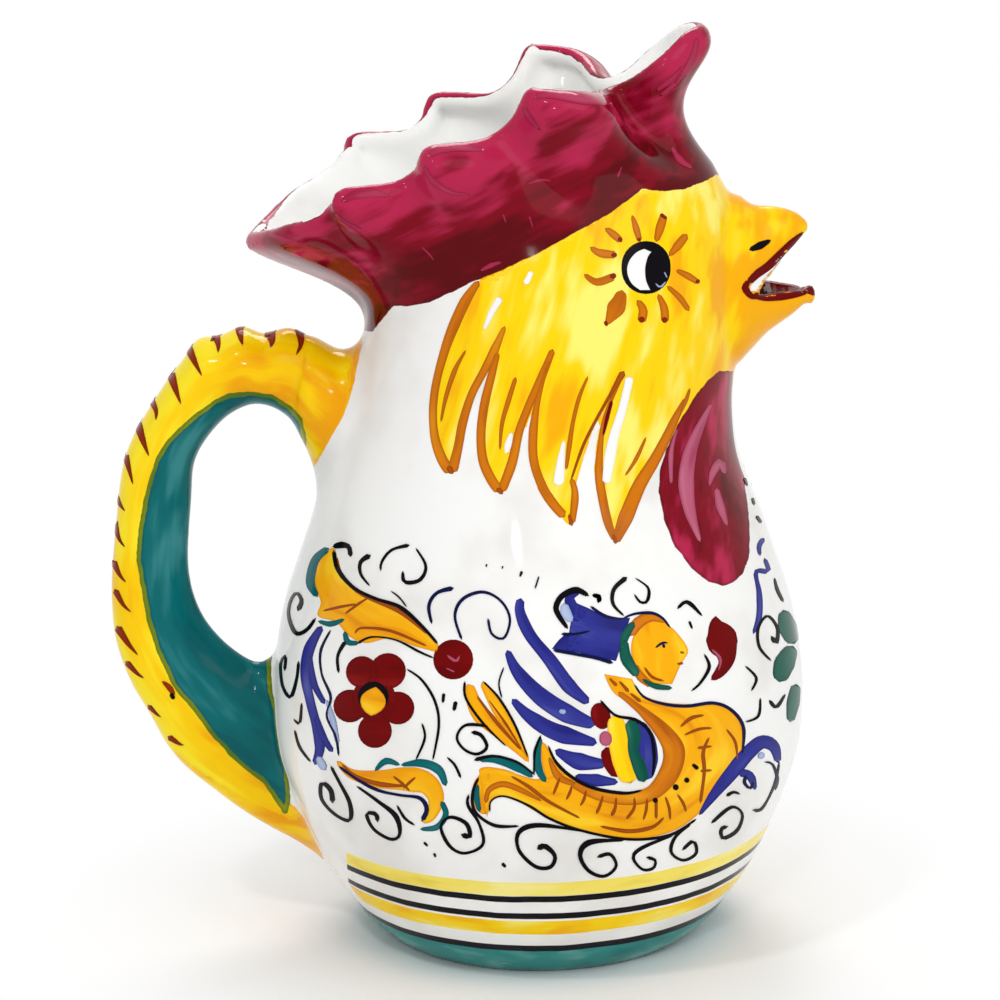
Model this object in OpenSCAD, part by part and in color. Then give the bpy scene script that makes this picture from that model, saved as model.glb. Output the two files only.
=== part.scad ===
// Rooster pitcher of glazed earthenware, thrown and modelled by hand.
// Millimetres. +Z up, the beak towards +X, the handle towards -X,
// the origin at the centre of the foot's underside.

/* [Body] */
// Diameter of the flat foot
foot_d = 82; // [70:1:90]
// Diameter of the belly at its widest
belly_d = 144.6; // [130:0.2:160]
// Height at which the belly is widest
belly_z = 67; // [58:1:76]
// Height of the shoulder, where the neck begins
shoulder_z = 104; // [98:1:112]
// Diameter of the shoulder
shoulder_d = 130.4; // [122:0.2:136]
// Thickness of the thrown wall
wall = 4.6; // [3.6:0.1:5.6]
// Thickness of the floor
floor_t = 7; // [5:0.5:9]

/* [Head] */
// Height of the brow, where the comb meets the head in front
brow_z = 212; // [208:1:218]
// Height of the nape, where the comb meets the head behind
nape_z = 166; // [160:1:172]
// Reach of the face in front of the axis
face_reach = 54.5; // [50:0.5:58]
// Reach of the nape behind the axis
nape_reach = 45; // [42:0.5:48]
// Half the width of the head at the cheeks
cheek_half = 49; // [45:0.5:52]

/* [Comb] */
// Height of the horn's tip, which is the pitcher's full height
horn_z = 250; // [244:1:256]
// Reach of the horn's tip in front of the axis
horn_reach = 45.5; // [42:0.5:48]
// Height of the comb's rear tip
tail_z = 195; // [190:1:200]
// Reach of the comb's rear tip behind the axis
tail_reach = 75; // [70:0.5:80]
// Half the width of the comb's mouth
comb_half = 41; // [37:0.5:44]
// How far the lobes swell out of the comb's wall
lobe_puff = 7; // [4:0.5:8]
// Thickness of the comb's lip
lip = 4.2; // [3.2:0.1:5.2]

/* [Beak] */
// Height of the line on which the two halves of the beak meet
mouth_z = 178.3; // [176:0.1:181]
// Reach of the upper beak's tip
upper_reach = 73.5; // [70:0.5:76]
// Reach of the lower beak's tip
lower_reach = 75.5; // [72:0.5:79]
// Height of the upper beak above the line of the mouth, at its root
upper_rise = 25; // [22:0.5:28]
// Depth of the lower beak under the line of the mouth, at its root
lower_drop = 20; // [17:0.5:22]
// How far the upper beak's tip lifts above the line of the mouth
gape = 18; // [14:0.5:20]
// Half the width of the beak at its root
beak_half = 17; // [14:0.5:19]
// Thickness of the beak's wall
beak_wall = 3.2; // [2.6:0.1:3.8]

/* [Handle] */
// How far the handle's back stands off the body
handle_off = 51; // [44:0.5:56]
// Height of the handle's crest
handle_z = 167; // [163:0.5:171]
// Half the width of the handle
strap_half = 12; // [10:0.5:14]
// Half the width of the flare where the handle meets the neck
flare_half = 16; // [13:0.5:18]
// Height of the pinched bumps on the handle's crest
crest_h = 1.6; // [0.8:0.1:2.4]
// Thickness of the layer of slip that fixes the modelled pieces to the body
slip = 0.2; // [0.1:0.05:0.4]

/* [Hidden] */

foot_r = foot_d / 2;
belly_r = belly_d / 2;
shoulder_r = shoulder_d / 2;

// Counts of steps round and along the modelled forms
round_n = 96;
flank_n = 14;
around = 120;
neck_rows = 6;
throat_rows = 2;
brow_rows = 3;
comb_rows = 8;
beak_arc = 10;
beak_rows = 9;
strap_sides = 20;
strap_rows = 42;
seat_rings = 3;

// The belly's flank from the foot to its widest: share of the height,
// share of the way out from the foot's radius to the belly's. The row past the end
// keeps the profile upright at the widest place.
flank_shares = [[0, 0], [0.06, 0.16], [0.15, 0.34], [0.27, 0.53], [0.42, 0.69],
                [0.6, 0.85], [0.8, 0.975], [1, 1], [1.2, 0.975]];
// The flank from the widest place to the shoulder: share of the height,
// share of the way in from the belly's radius to the shoulder's, with a row before
// the start for the same reason
shoulder_shares = [[-0.45, 0.22], [0, 0], [0.45, 0.22], [0.75, 0.56], [1, 1]];

// Sections of the head from the shoulder to the brow: share of the height, then the
// shares of the way from the shoulder's radius to the face's reach, to the nape's
// reach and to the cheek's half width
head_shares = [[0, 0, 0, 0], [0.12, 0.4, 0.22, 0.27], [0.27, 0.96, 0.45, 0.63],
               [0.4, 1.11, 0.73, 0.85], [0.52, 1.05, 0.91, 0.97], [0.66, 1, 1, 1.1],
               [0.79, 1.04, 1.02, 1.3], [0.92, 1.22, 1.03, 1.56], [1, 1.6, 1.04, 1.75]];
// Height of the seam under the comb, from the brow at 0 to the nape at 1:
// share of the half turn, share of the way from the nape's height to the brow's
seam_shares = [[0, 1], [0.17, 0.99], [0.33, 0.93], [0.5, 0.7], [0.67, 0.45],
               [0.83, 0.24], [1, 0]];
// The comb's rim from the horn's tip to the rear tip: share of the half turn, share of
// the horn's reach (above 0) or of the rear reach (below 0), share of the half width,
// share of the height from the rear tip to the horn's, share of the lobe's puff for the
// swell near the rim, and the same for the waist near the seam
rim_shares = [[0, 1, 0, 1, 0.91, -1.23], [0.02, 0.974, 0.12, 1, 0.9, -1.2],
              [0.045, 0.9, 0.22, 0.978, 0.8, -1.1], [0.07, 0.824, 0.305, 0.927, 0.7, -1],
              [0.095, 0.747, 0.34, 0.873, 0.55, -0.85], [0.12, 0.66, 0.33, 0.815, 0.35, -0.7],
              [0.15, 0.56, 0.256, 0.742, 0, -0.6], [0.175, 0.473, 0.232, 0.718, 0, -0.5],
              [0.205, 0.385, 0.366, 0.735, 0.3, -0.45], [0.235, 0.297, 0.61, 0.773, 0.85, -0.4],
              [0.27, 0.198, 0.768, 0.807, 1.3, -0.35], [0.31, 0.088, 0.829, 0.825, 1.5, -0.3],
              [0.345, -0.02, 0.837, 0.824, 1.5, -0.3], [0.37, -0.057, 0.837, 0.79, 1.35, -0.3],
              [0.385, -0.074, 0.837, 0.725, 1, -0.3], [0.4, -0.087, 0.837, 0.65, 0.5, -0.3],
              [0.42, -0.11, 0.841, 0.597, 0.15, -0.3], [0.46, -0.17, 0.861, 0.582, 0.45, -0.3],
              [0.52, -0.265, 0.902, 0.584, 1.1, -0.3], [0.57, -0.345, 0.934, 0.578, 1.35, -0.3],
              [0.595, -0.387, 0.951, 0.541, 1.2, -0.3], [0.61, -0.41, 0.951, 0.475, 0.85, -0.3],
              [0.625, -0.423, 0.951, 0.415, 0.4, -0.3], [0.645, -0.45, 0.963, 0.375, 0.1, -0.3],
              [0.69, -0.53, 0.993, 0.371, 0.5, -0.35], [0.74, -0.618, 1, 0.371, 1.05, -0.4],
              [0.775, -0.674, 0.983, 0.337, 1.05, -0.45],
              [0.797, -0.7, 0.959, 0.265, 0.65, -0.5], [0.82, -0.72, 0.927, 0.2, 0.25, -0.55],
              [0.855, -0.767, 0.878, 0.155, 0.2, -0.65],
              [0.89, -0.827, 0.756, 0.115, 0.5, -0.9], [0.93, -0.893, 0.585, 0.085, 1, -1.2],
              [0.965, -0.953, 0.293, 0.044, 1.4, -1.45], [1, -1, 0, 0, 1.61, -1.54]];

// The columns of these rows
REACH = 1;
WIDTH = 2;
HEIGHT = 3;
PUFF = 4;
WAIST = 5;
// How far above the middle of the wall the swell is fullest
swell_power = 2.8;

// How much thicker the lip is where the rim runs to a point, and how far it may close
// the trough there
pinch_share = 0.9;
trough_share = 0.4;

// The upper beak from its root to its tip: share of the way, share of the half width,
// share of the rise for its ridge, share of the gape for its lower edge
upper_shares = [[0, 1, 1, 0], [0.15, 0.85, 0.92, 0.01], [0.3, 0.66, 0.885, 0.2],
                [0.5, 0.5, 0.88, 0.46], [0.7, 0.35, 0.855, 0.7], [0.88, 0.2, 0.81, 0.86],
                [1, 0.06, 0.74, 0.98]];
// The lower beak: share of the way, share of the half width, share of the drop for its
// keel, share of the drop for its upper edge
lower_shares = [[0, 1, 1, 0], [0.15, 0.85, 0.85, 0], [0.35, 0.66, 0.64, 0],
                [0.55, 0.48, 0.5, 0], [0.75, 0.34, 0.36, 0.01], [0.92, 0.19, 0.2, 0.04],
                [1, 0.06, 0.13, 0.08]];
// The least share of a beak's section that its hollow keeps near the tip
hollow_share = 0.33;
// The open throat behind the beak: shares of the rise, of the drop and of the half width
throat_top_share = 0.72;
throat_low_share = 0.62;
throat_half_share = 0.6;

// The handle from its seat on the neck to its seat on the belly. Its back: share of the
// stand-off, share of the crest's height. Its inner edge: the same two. Then the share
// of the half width, and how far the section tapers towards the inner edge.
handle_shares = [[0, 0.967, 0, 0.752, 0, 0.2], [0.13, 0.97, 0.18, 0.821, 0.3, 0.15],
                 [0.29, 0.995, 0.28, 0.858, 0.75, 0.1], [0.47, 0.998, 0.41, 0.882, 1, 0.1],
                 [0.65, 1, 0.52, 0.885, 1, 0.1], [0.83, 0.99, 0.62, 0.866, 1, 0.15],
                 [0.95, 0.953, 0.68, 0.83, 1, 0.2], [1.04, 0.891, 0.7, 0.787, 1, 0.3],
                 [1.08, 0.824, 0.67, 0.732, 1, 0.4], [1.06, 0.733, 0.63, 0.673, 1, 0.45],
                 [1, 0.641, 0.57, 0.614, 1, 0.5], [0.925, 0.556, 0.49, 0.564, 1, 0.5],
                 [0.865, 0.489, 0.41, 0.526, 1.02, 0.5], [0.77, 0.42, 0.31, 0.492, 1.04, 0.5],
                 [0.67, 0.362, 0.21, 0.467, 1.06, 0.5], [0.57, 0.287, 0.11, 0.449, 1.04, 0.5],
                 [0.445, 0.235, 0.06, 0.445, 1, 0.5], [0.31, 0.186, 0.03, 0.442, 0.95, 0.5],
                 [0.15, 0.143, 0.01, 0.438, 0.9, 0.5], [0, 0.111, 0, 0.434, 0.85, 0.5]];
// The stations between which the crest is pinched, and the number of its bumps
crest_from = 2;
crest_to = 6;
crest_bumps = 3;

// Interpolates column c of rows whose first column is the place v, with a smooth curve
function span_at(k, v, i = 0) = (i >= len(k) - 2 || v < k[i + 1][0]) ? i : span_at(k, v, i + 1);
function slope_at(k, i, c) =
    let (a = max(i - 1, 0), b = min(i + 1, len(k) - 1)) (k[b][c] - k[a][c]) / (k[b][0] - k[a][0]);
function smooth(k, v, c) =
    let (i = span_at(k, v), h = k[i + 1][0] - k[i][0], u = (v - k[i][0]) / h, w = 1 - u)
    (1 + 2 * u) * w * w * k[i][c] + u * w * w * h * slope_at(k, i, c)
    + u * u * (3 - 2 * u) * k[i + 1][c] - u * u * w * h * slope_at(k, i + 1, c);
// Interpolates whole rows that stand one step apart
function along(rows, v) =
    let (n = len(rows) - 1, i = min(floor(v), n - 1), u = v - i,
         a = rows[max(i - 1, 0)], b = rows[i], c = rows[i + 1], d = rows[min(i + 2, n)])
    b + (c - a) * u / 2 + (2 * a - 5 * b + 4 * c - d) * u * u / 2
    + (3 * b - a - 3 * c + d) * u * u * u / 2;
function blend(a, b, u) = a + (b - a) * u;

// Outer radius of the thrown body at height z
function body_r(z) = z < belly_z
    ? blend(foot_r, belly_r, smooth(flank_shares, z / belly_z, 1))
    : blend(belly_r, shoulder_r,
            smooth(shoulder_shares, min(1, (z - belly_z) / (shoulder_z - belly_z)), 1));
function body_lean(z) = (body_r(z + floor_t) - body_r(z)) / floor_t;
// The wall measured level, so that it keeps its thickness where it leans
function level_wall(lean) = wall * sqrt(1 + lean * lean);

// The head's section at height z: reach in front, reach behind, half width
function head_place(z) = min(1, max(0, (z - shoulder_z) / (brow_z - shoulder_z)));
function face_x(z) = blend(shoulder_r, face_reach, smooth(head_shares, head_place(z), 1));
function nape_x(z) = blend(shoulder_r, nape_reach, smooth(head_shares, head_place(z), 2));
function cheek_y(z) = blend(shoulder_r, cheek_half, smooth(head_shares, head_place(z), 3));
// Point of the head at height z and turn a, drawn in by a level distance
function head_point(z, a, in = 0) =
    let (mid = (face_x(z) - nape_x(z)) / 2, half = (face_x(z) + nape_x(z)) / 2)
    [mid + (half - in) * cos(a), (cheek_y(z) - in) * sin(a), z];
// The pitcher's back or front at height z and side distance y
function back_x(y, z) = z < shoulder_z ? -sqrt(body_r(z) * body_r(z) - y * y)
    : let (mid = (face_x(z) - nape_x(z)) / 2, half = (face_x(z) + nape_x(z)) / 2, s = y / cheek_y(z))
      mid - half * sqrt(1 - s * s);
function front_x(y, z) =
    let (mid = (face_x(z) - nape_x(z)) / 2, half = (face_x(z) + nape_x(z)) / 2, s = y / cheek_y(z))
    mid + half * sqrt(1 - s * s);

// The seam under the comb at turn a
function turn_share(a) = (a <= 180 ? a : 360 - a) / 180;
function seam_z(a) = blend(nape_z, brow_z, smooth(seam_shares, turn_share(a), 1));
// The comb's rim at turn a
function rim_point(a) =
    let (t = turn_share(a), r = smooth(rim_shares, t, REACH), side = a <= 180 ? 1 : -1)
    [r > 0 ? r * horn_reach : r * tail_reach,
     side * comb_half * max(0, smooth(rim_shares, t, WIDTH)),
     blend(tail_z, horn_z, smooth(rim_shares, t, HEIGHT))];
function rim_out(a) =
    let (d = 360 / around, e = rim_point((a + d) % 360) - rim_point((a - d + 360) % 360),
         n = [e[1], -e[0]]) n / norm(n);
// The lip's inner edge, which keeps to its own side where the rim runs to a point
function lip_point(a) =
    let (p = rim_point(a), n = rim_out(a), reach = lip * (1 + abs(n[0]) * pinch_share))
    [p[0] - reach * n[0],
     sign(p[1]) * max(abs(p[1]) * trough_share, abs(p[1]) - lip * abs(n[1])), p[2]];

// Closed mesh of a tube wall: outer rings and inner rings of n points each, from the
// bottom up, with an opening left out of both between the given rows and steps
function ring_next(i, n) = (i + 1) % n;
function in_patch(i, j, n, patch) = len(patch) > 0 && j >= patch[0] && j < patch[1]
    && (i < patch[2] || i >= n - patch[2]);
module tube_wall(outer, inner, patch = []) {
    m = len(outer);
    n = len(outer[0]);
    o = m * n;
    points = concat([for (r = outer) each r], [for (r = inner) each r]);
    walls = [for (j = [0 : m - 2], i = [0 : n - 1]) if (!in_patch(i, j, n, patch))
        let (a = j * n + i, b = j * n + ring_next(i, n)) each [
            [a, b + n, b], [a, a + n, b + n],
            [o + a, o + b, o + b + n], [o + a, o + b + n, o + a + n]]];
    ends = [for (i = [0 : n - 1]) let (k = ring_next(i, n), t = (m - 1) * n) each [
        [i, k, o + k], [i, o + k, o + i],
        [t + i, o + t + k, t + k], [t + i, o + t + i, o + t + k]]];
    sills = len(patch) == 0 ? [] : concat(
        [for (s = [0 : 2 * patch[2] - 1]) let (i = (s - patch[2] + n) % n, k = ring_next(i, n),
              a = patch[0] * n, b = patch[1] * n) each [
            [a + i, o + a + k, a + k], [a + i, o + a + i, o + a + k],
            [b + i, b + k, o + b + k], [b + i, o + b + k, o + b + i]]],
        [for (j = [patch[0] : patch[1] - 1]) let (l = (n - patch[2]) + j * n, r = patch[2] + j * n) each [
            [l, l + n, o + l + n], [l, o + l + n, o + l],
            [r, o + r + n, r + n], [r, o + r, o + r + n]]]);
    polyhedron(points, concat(walls, ends, sills));
}

// Closed mesh through rings of n points each, with a small flat end at both ends
module skin(rings) {
    m = len(rings);
    n = len(rings[0]);
    sides = [for (j = [0 : m - 2], i = [0 : n - 1]) let (a = j * n + i, b = j * n + ring_next(i, n)) each [
        [a, b, b + n], [a, b + n, a + n]]];
    ends = [for (i = [1 : n - 2]) each [[0, i + 1, i], [(m - 1) * n, (m - 1) * n + i, (m - 1) * n + i + 1]]];
    polyhedron([for (r = rings) each r], concat(sides, ends));
}

// Half outline of the thrown wall between two heights
function wall_heights(z0, z1) = [for (i = [0 : flank_n]) z0 + (z1 - z0) * i / flank_n];
function outer_line(z0, z1) = [for (z = wall_heights(z0, z1)) [body_r(z), z]];
function inner_line(z0, z1) = [for (z = wall_heights(z0, z1)) [body_r(z) - level_wall(body_lean(z)), z]];
function turned(p) = [for (i = [len(p) - 1 : -1 : 0]) p[i]];

// The slab of clay that closes the bottom and stands on the table
module foot() {
    color("teal")
    rotate_extrude($fn = round_n)
        polygon(concat([[0, 0]], outer_line(0, floor_t), [[0, floor_t]]));
}

// The thrown wall from the floor to the shoulder
module belly() {
    top = inner_line(floor_t, shoulder_z);
    seat = [[shoulder_r - wall, shoulder_z]];
    color("white")
    rotate_extrude($fn = around)
        polygon(concat(outer_line(floor_t, shoulder_z), seat,
                       [for (i = [flank_n - 1 : -1 : 0]) top[i]]));
}

// Heights of the head's rows as shares of the way from the shoulder to the seam,
// with a row at each edge of the throat
front_top = brow_z;
throat_top = mouth_z + throat_top_share * upper_rise;
throat_low = mouth_z - throat_low_share * lower_drop;
function spread(a, b, n) = [for (i = [0 : n - 1]) a + (b - a) * i / n];
low_place = (throat_low - shoulder_z) / (front_top - shoulder_z);
top_place = (throat_top - shoulder_z) / (front_top - shoulder_z);
throat_turn = asin(throat_half_share * beak_half / cheek_half);
throat_steps = max(1, round(throat_turn * around / 360));
head_rows = concat(spread(0, low_place, neck_rows), spread(low_place, top_place, throat_rows),
                   spread(top_place, 1, brow_rows), [1]);
function head_ring(s, in) = [for (i = [0 : around - 1]) let (a = i * 360 / around)
    head_point(blend(shoulder_z, seam_z(a), s), a, in)];

// The neck and head from the shoulder to the seam under the comb, open at the throat
module head() {
    color("gold")
    tube_wall([for (s = head_rows) head_ring(s, 0)], [for (s = head_rows) head_ring(s, wall)],
              [neck_rows, neck_rows + throat_rows, throat_steps]);
}

// The comb: a wall that flares from the seam to the scalloped rim, with puffed lobes
function bell(u, power) = sin(180 * pow(u, power));
function comb_puff(a, u) = let (t = turn_share(a))
    lobe_puff * (smooth(rim_shares, t, PUFF) * bell(u, swell_power)
                 + smooth(rim_shares, t, WAIST) * bell(u, 1));
function comb_ring(u, inner) = [for (i = [0 : around - 1])
    let (a = i * 360 / around, foot_p = head_point(seam_z(a), a, inner ? wall : 0),
         rim_p = inner ? lip_point(a) : rim_point(a), puff = comb_puff(a, u))
    blend(foot_p, rim_p, u) + [puff * cos(a), puff * sin(a), 0]];
module comb() {
    color("crimson")
    tube_wall([for (j = [0 : comb_rows]) comb_ring(j / comb_rows, false)],
              [for (j = [0 : comb_rows]) comb_ring(j / comb_rows, true)]);
}

// Section of one half of the beak: an arch of the given half width, from its edges on the
// line of the mouth to its spine, with its hollow
function hollowed(size) = max(size - beak_wall, size * hollow_share);
function arch(half, spine, edge) =
    let (rise = spine - edge, in_half = hollowed(half), in_rise = sign(rise) * hollowed(abs(rise)))
    concat([for (i = [0 : beak_arc]) let (a = 180 * i / beak_arc) [half * cos(a), edge + rise * sin(a)]],
           [for (i = [beak_arc : -1 : 0]) let (a = 180 * i / beak_arc)
               [in_half * cos(a), edge + in_rise * sin(a)]]);
// The root's section lies on the face, a layer of slip away from it
function beak_ring(x, flat, seated) = [for (p = flat) let (face = front_x(p[0], p[1]) + slip)
    [seated ? face : max(x, face + slip), p[0], p[1]]];
module beak_half(rings) {
    n = 2 * (beak_arc + 1);
    m = len(rings);
    sides = [for (j = [0 : m - 2], i = [0 : n - 1]) let (a = j * n + i, b = j * n + ring_next(i, n)) each [
        [a, b, b + n], [a, b + n, a + n]]];
    ends = [for (i = [0 : beak_arc - 1], e = [0, 1]) let (t = e * (m - 1) * n, p = t + i, q = t + i + 1,
            r = t + n - 1 - i, s = t + n - 2 - i)
        each (e == 0 ? [[p, s, q], [p, r, s]] : [[p, q, s], [p, s, r]])];
    polyhedron([for (r = rings) each r], concat(sides, ends));
}
function upper_flat(u) = arch(beak_half * smooth(upper_shares, u, 1),
    mouth_z + upper_rise * smooth(upper_shares, u, 2),
    mouth_z + slip + gape * smooth(upper_shares, u, 3));
function lower_flat(u) = arch(beak_half * smooth(lower_shares, u, 1),
    mouth_z - lower_drop * smooth(lower_shares, u, 2),
    mouth_z - lower_drop * smooth(lower_shares, u, 3));
function beak_x(u, reach) = blend(face_reach, reach, u);

module upper_beak() {
    color("orange")
    beak_half([for (j = [0 : beak_rows]) let (u = j / beak_rows)
        beak_ring(beak_x(u, upper_reach), upper_flat(u), j == 0)]);
}
module lower_beak() {
    color("orange")
    mirror([0, 1, 0])
    beak_half([for (j = [0 : beak_rows]) let (u = j / beak_rows)
        beak_ring(beak_x(u, lower_reach), lower_flat(u), j == 0)]);
}

// The strap stays two layers of slip away from the body, so that only its seats reach it
strap_clear = 2 * slip;
// The handle's section at station v, with the crest's bumps on its back
function crest(v) = v < crest_from || v > crest_to ? 0
    : crest_h * (1 - cos(360 * crest_bumps * (v - crest_from) / (crest_to - crest_from))) / 2;
function station(v) =
    let (s = along(handle_shares, v), zo = s[1] * handle_z + crest(v), zi = s[3] * handle_z,
         w = v < crest_from ? blend(flare_half, strap_half, min(1, s[4])) : strap_half * s[4])
    [[back_x(0, zo) - s[0] * handle_off, zo], [back_x(0, zi) - s[2] * handle_off, zi], w, s[5]];
function strap_point(st, a, grow = 1) =
    let (u = (1 - cos(a) * grow) / 2, y = st[2] * sin(a) * grow * (1 - st[3] * u))
    [blend(st[0][0], st[1][0], u), y, blend(st[0][1], st[1][1], u)];
function strap_ring(v) = let (st = station(v))
    [for (i = [0 : strap_sides - 1]) let (p = strap_point(st, 360 * i / strap_sides))
        [min(p[0], back_x(p[1], p[2]) - strap_clear), p[1], p[2]]];
// A seat ring lies on the body's surface, a layer of slip away from it
function seat_ring(v, grow) = let (st = station(v))
    [for (i = [0 : strap_sides - 1]) let (p = strap_point(st, 360 * i / strap_sides, grow))
        [back_x(p[1], p[2]) - slip, p[1], p[2]]];
last_station = len(handle_shares) - 1;
module handle() {
    color("gold")
    skin(concat(
        [for (k = [1 : seat_rings]) seat_ring(0, k / seat_rings)],
        [for (j = [1 : strap_rows - 1]) strap_ring(last_station * j / strap_rows)],
        [for (k = [seat_rings : -1 : 1]) seat_ring(last_station, k / seat_rings)]));
}

foot();
belly();
head();
comb();
upper_beak();
lower_beak();
handle();
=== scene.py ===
"""Hand-painted earthenware rooster pitcher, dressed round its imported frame."""
import logging
import math
from dataclasses import dataclass
from enum import Enum, IntEnum

import bpy
import numpy as np
from mathutils import Matrix, Vector
from mathutils.bvhtree import BVHTree


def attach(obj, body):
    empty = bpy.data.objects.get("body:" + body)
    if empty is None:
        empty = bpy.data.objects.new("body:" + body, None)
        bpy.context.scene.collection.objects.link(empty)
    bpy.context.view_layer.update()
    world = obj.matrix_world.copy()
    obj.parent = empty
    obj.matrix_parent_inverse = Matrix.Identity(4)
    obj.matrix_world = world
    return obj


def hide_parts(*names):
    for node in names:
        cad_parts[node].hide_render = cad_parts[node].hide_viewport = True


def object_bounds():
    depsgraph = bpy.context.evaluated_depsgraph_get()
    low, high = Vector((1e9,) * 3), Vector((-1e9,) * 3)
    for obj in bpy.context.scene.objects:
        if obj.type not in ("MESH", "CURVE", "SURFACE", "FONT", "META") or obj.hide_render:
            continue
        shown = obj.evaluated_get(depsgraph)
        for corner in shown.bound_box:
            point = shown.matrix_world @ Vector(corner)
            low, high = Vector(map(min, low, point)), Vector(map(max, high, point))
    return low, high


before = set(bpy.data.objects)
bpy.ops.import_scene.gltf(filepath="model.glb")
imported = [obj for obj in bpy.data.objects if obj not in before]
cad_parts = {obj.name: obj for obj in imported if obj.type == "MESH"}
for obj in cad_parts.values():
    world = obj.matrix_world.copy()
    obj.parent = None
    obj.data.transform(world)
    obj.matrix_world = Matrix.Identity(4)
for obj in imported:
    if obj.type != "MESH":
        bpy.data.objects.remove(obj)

MM = 0.001
TINY = 1e-9
WHITE = (1.0, 1.0, 1.0, 1.0)
CAD_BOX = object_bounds()
BODY = "root"
SHADER = "Principled BSDF"
Array = np.ndarray
Triple = tuple[float, float, float]
Socket = bpy.types.NodeSocket

log = logging.getLogger("pitcher")


class Part(IntEnum):
    """The pieces of clay. The names in small letters are the record's nodes."""

    AIR = 0
    FOOT = 1
    BELLY = 2
    HEAD = 3
    COMB = 4
    UPPER_BEAK = 5
    LOWER_BEAK = 6
    HANDLE = 7


def blend(a: Array | float, b: Array | float, u: Array | float) -> Array | float:
    """Mixes a and b by the share u."""
    return a + (b - a) * u


def unit(vectors: Array) -> Array:
    """Vectors scaled to the length 1."""
    return vectors / np.maximum(np.linalg.norm(vectors, axis=-1, keepdims=True), TINY)


def lengths_along(points: Array) -> Array:
    """The length of the line through the points up to each of them."""
    return np.concatenate([[0.0], np.cumsum(np.linalg.norm(np.diff(points, axis=0), axis=1))])


def through(knots: Array, v: Array) -> Array:
    """A smooth curve through rows of knots, read at the places v, which are counted in rows.

    Args:
        knots: The rows that the curve passes.
        v: The places, 0 at the first row and 1 at the second.

    Returns:
        A row for each place.
    """
    last = len(knots) - 1
    i = np.minimum(v.astype(int), last - 1)
    u = (v - i)[:, None]
    a, b = knots[np.maximum(i - 1, 0)], knots[i]
    c, d = knots[i + 1], knots[np.minimum(i + 2, last)]
    return (b + (c - a) * u / 2 + (2 * a - 5 * b + 4 * c - d) * u * u / 2
            + (3 * b - a - 3 * c + d) * u ** 3 / 2)


@dataclass(frozen=True)
class ShareCurve:
    """A smooth curve through rows of shares, the first of each row being its place."""

    rows: tuple[tuple[float, ...], ...]

    def at(self, place: Array, column: int) -> Array:
        """Interpolates one column.

        Args:
            place: Where to read the curve, in shares.
            column: Which column to read, from 1.

        Returns:
            The interpolated shares, shaped like place.
        """
        table = np.array(self.rows)
        knots, values = table[:, 0], table[:, column]
        last = len(knots) - 1
        before = np.maximum(np.arange(last + 1) - 1, 0)
        after = np.minimum(np.arange(last + 1) + 1, last)
        slopes = (values[after] - values[before]) / (knots[after] - knots[before])
        i = np.clip(np.searchsorted(knots, place, side="right") - 1, 0, last - 1)
        h = knots[i + 1] - knots[i]
        u = (place - knots[i]) / h
        w = 1 - u
        return ((1 + 2 * u) * w * w * values[i] + u * w * w * h * slopes[i]
                + u * u * (3 - 2 * u) * values[i + 1] - u * u * w * h * slopes[i + 1])


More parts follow.
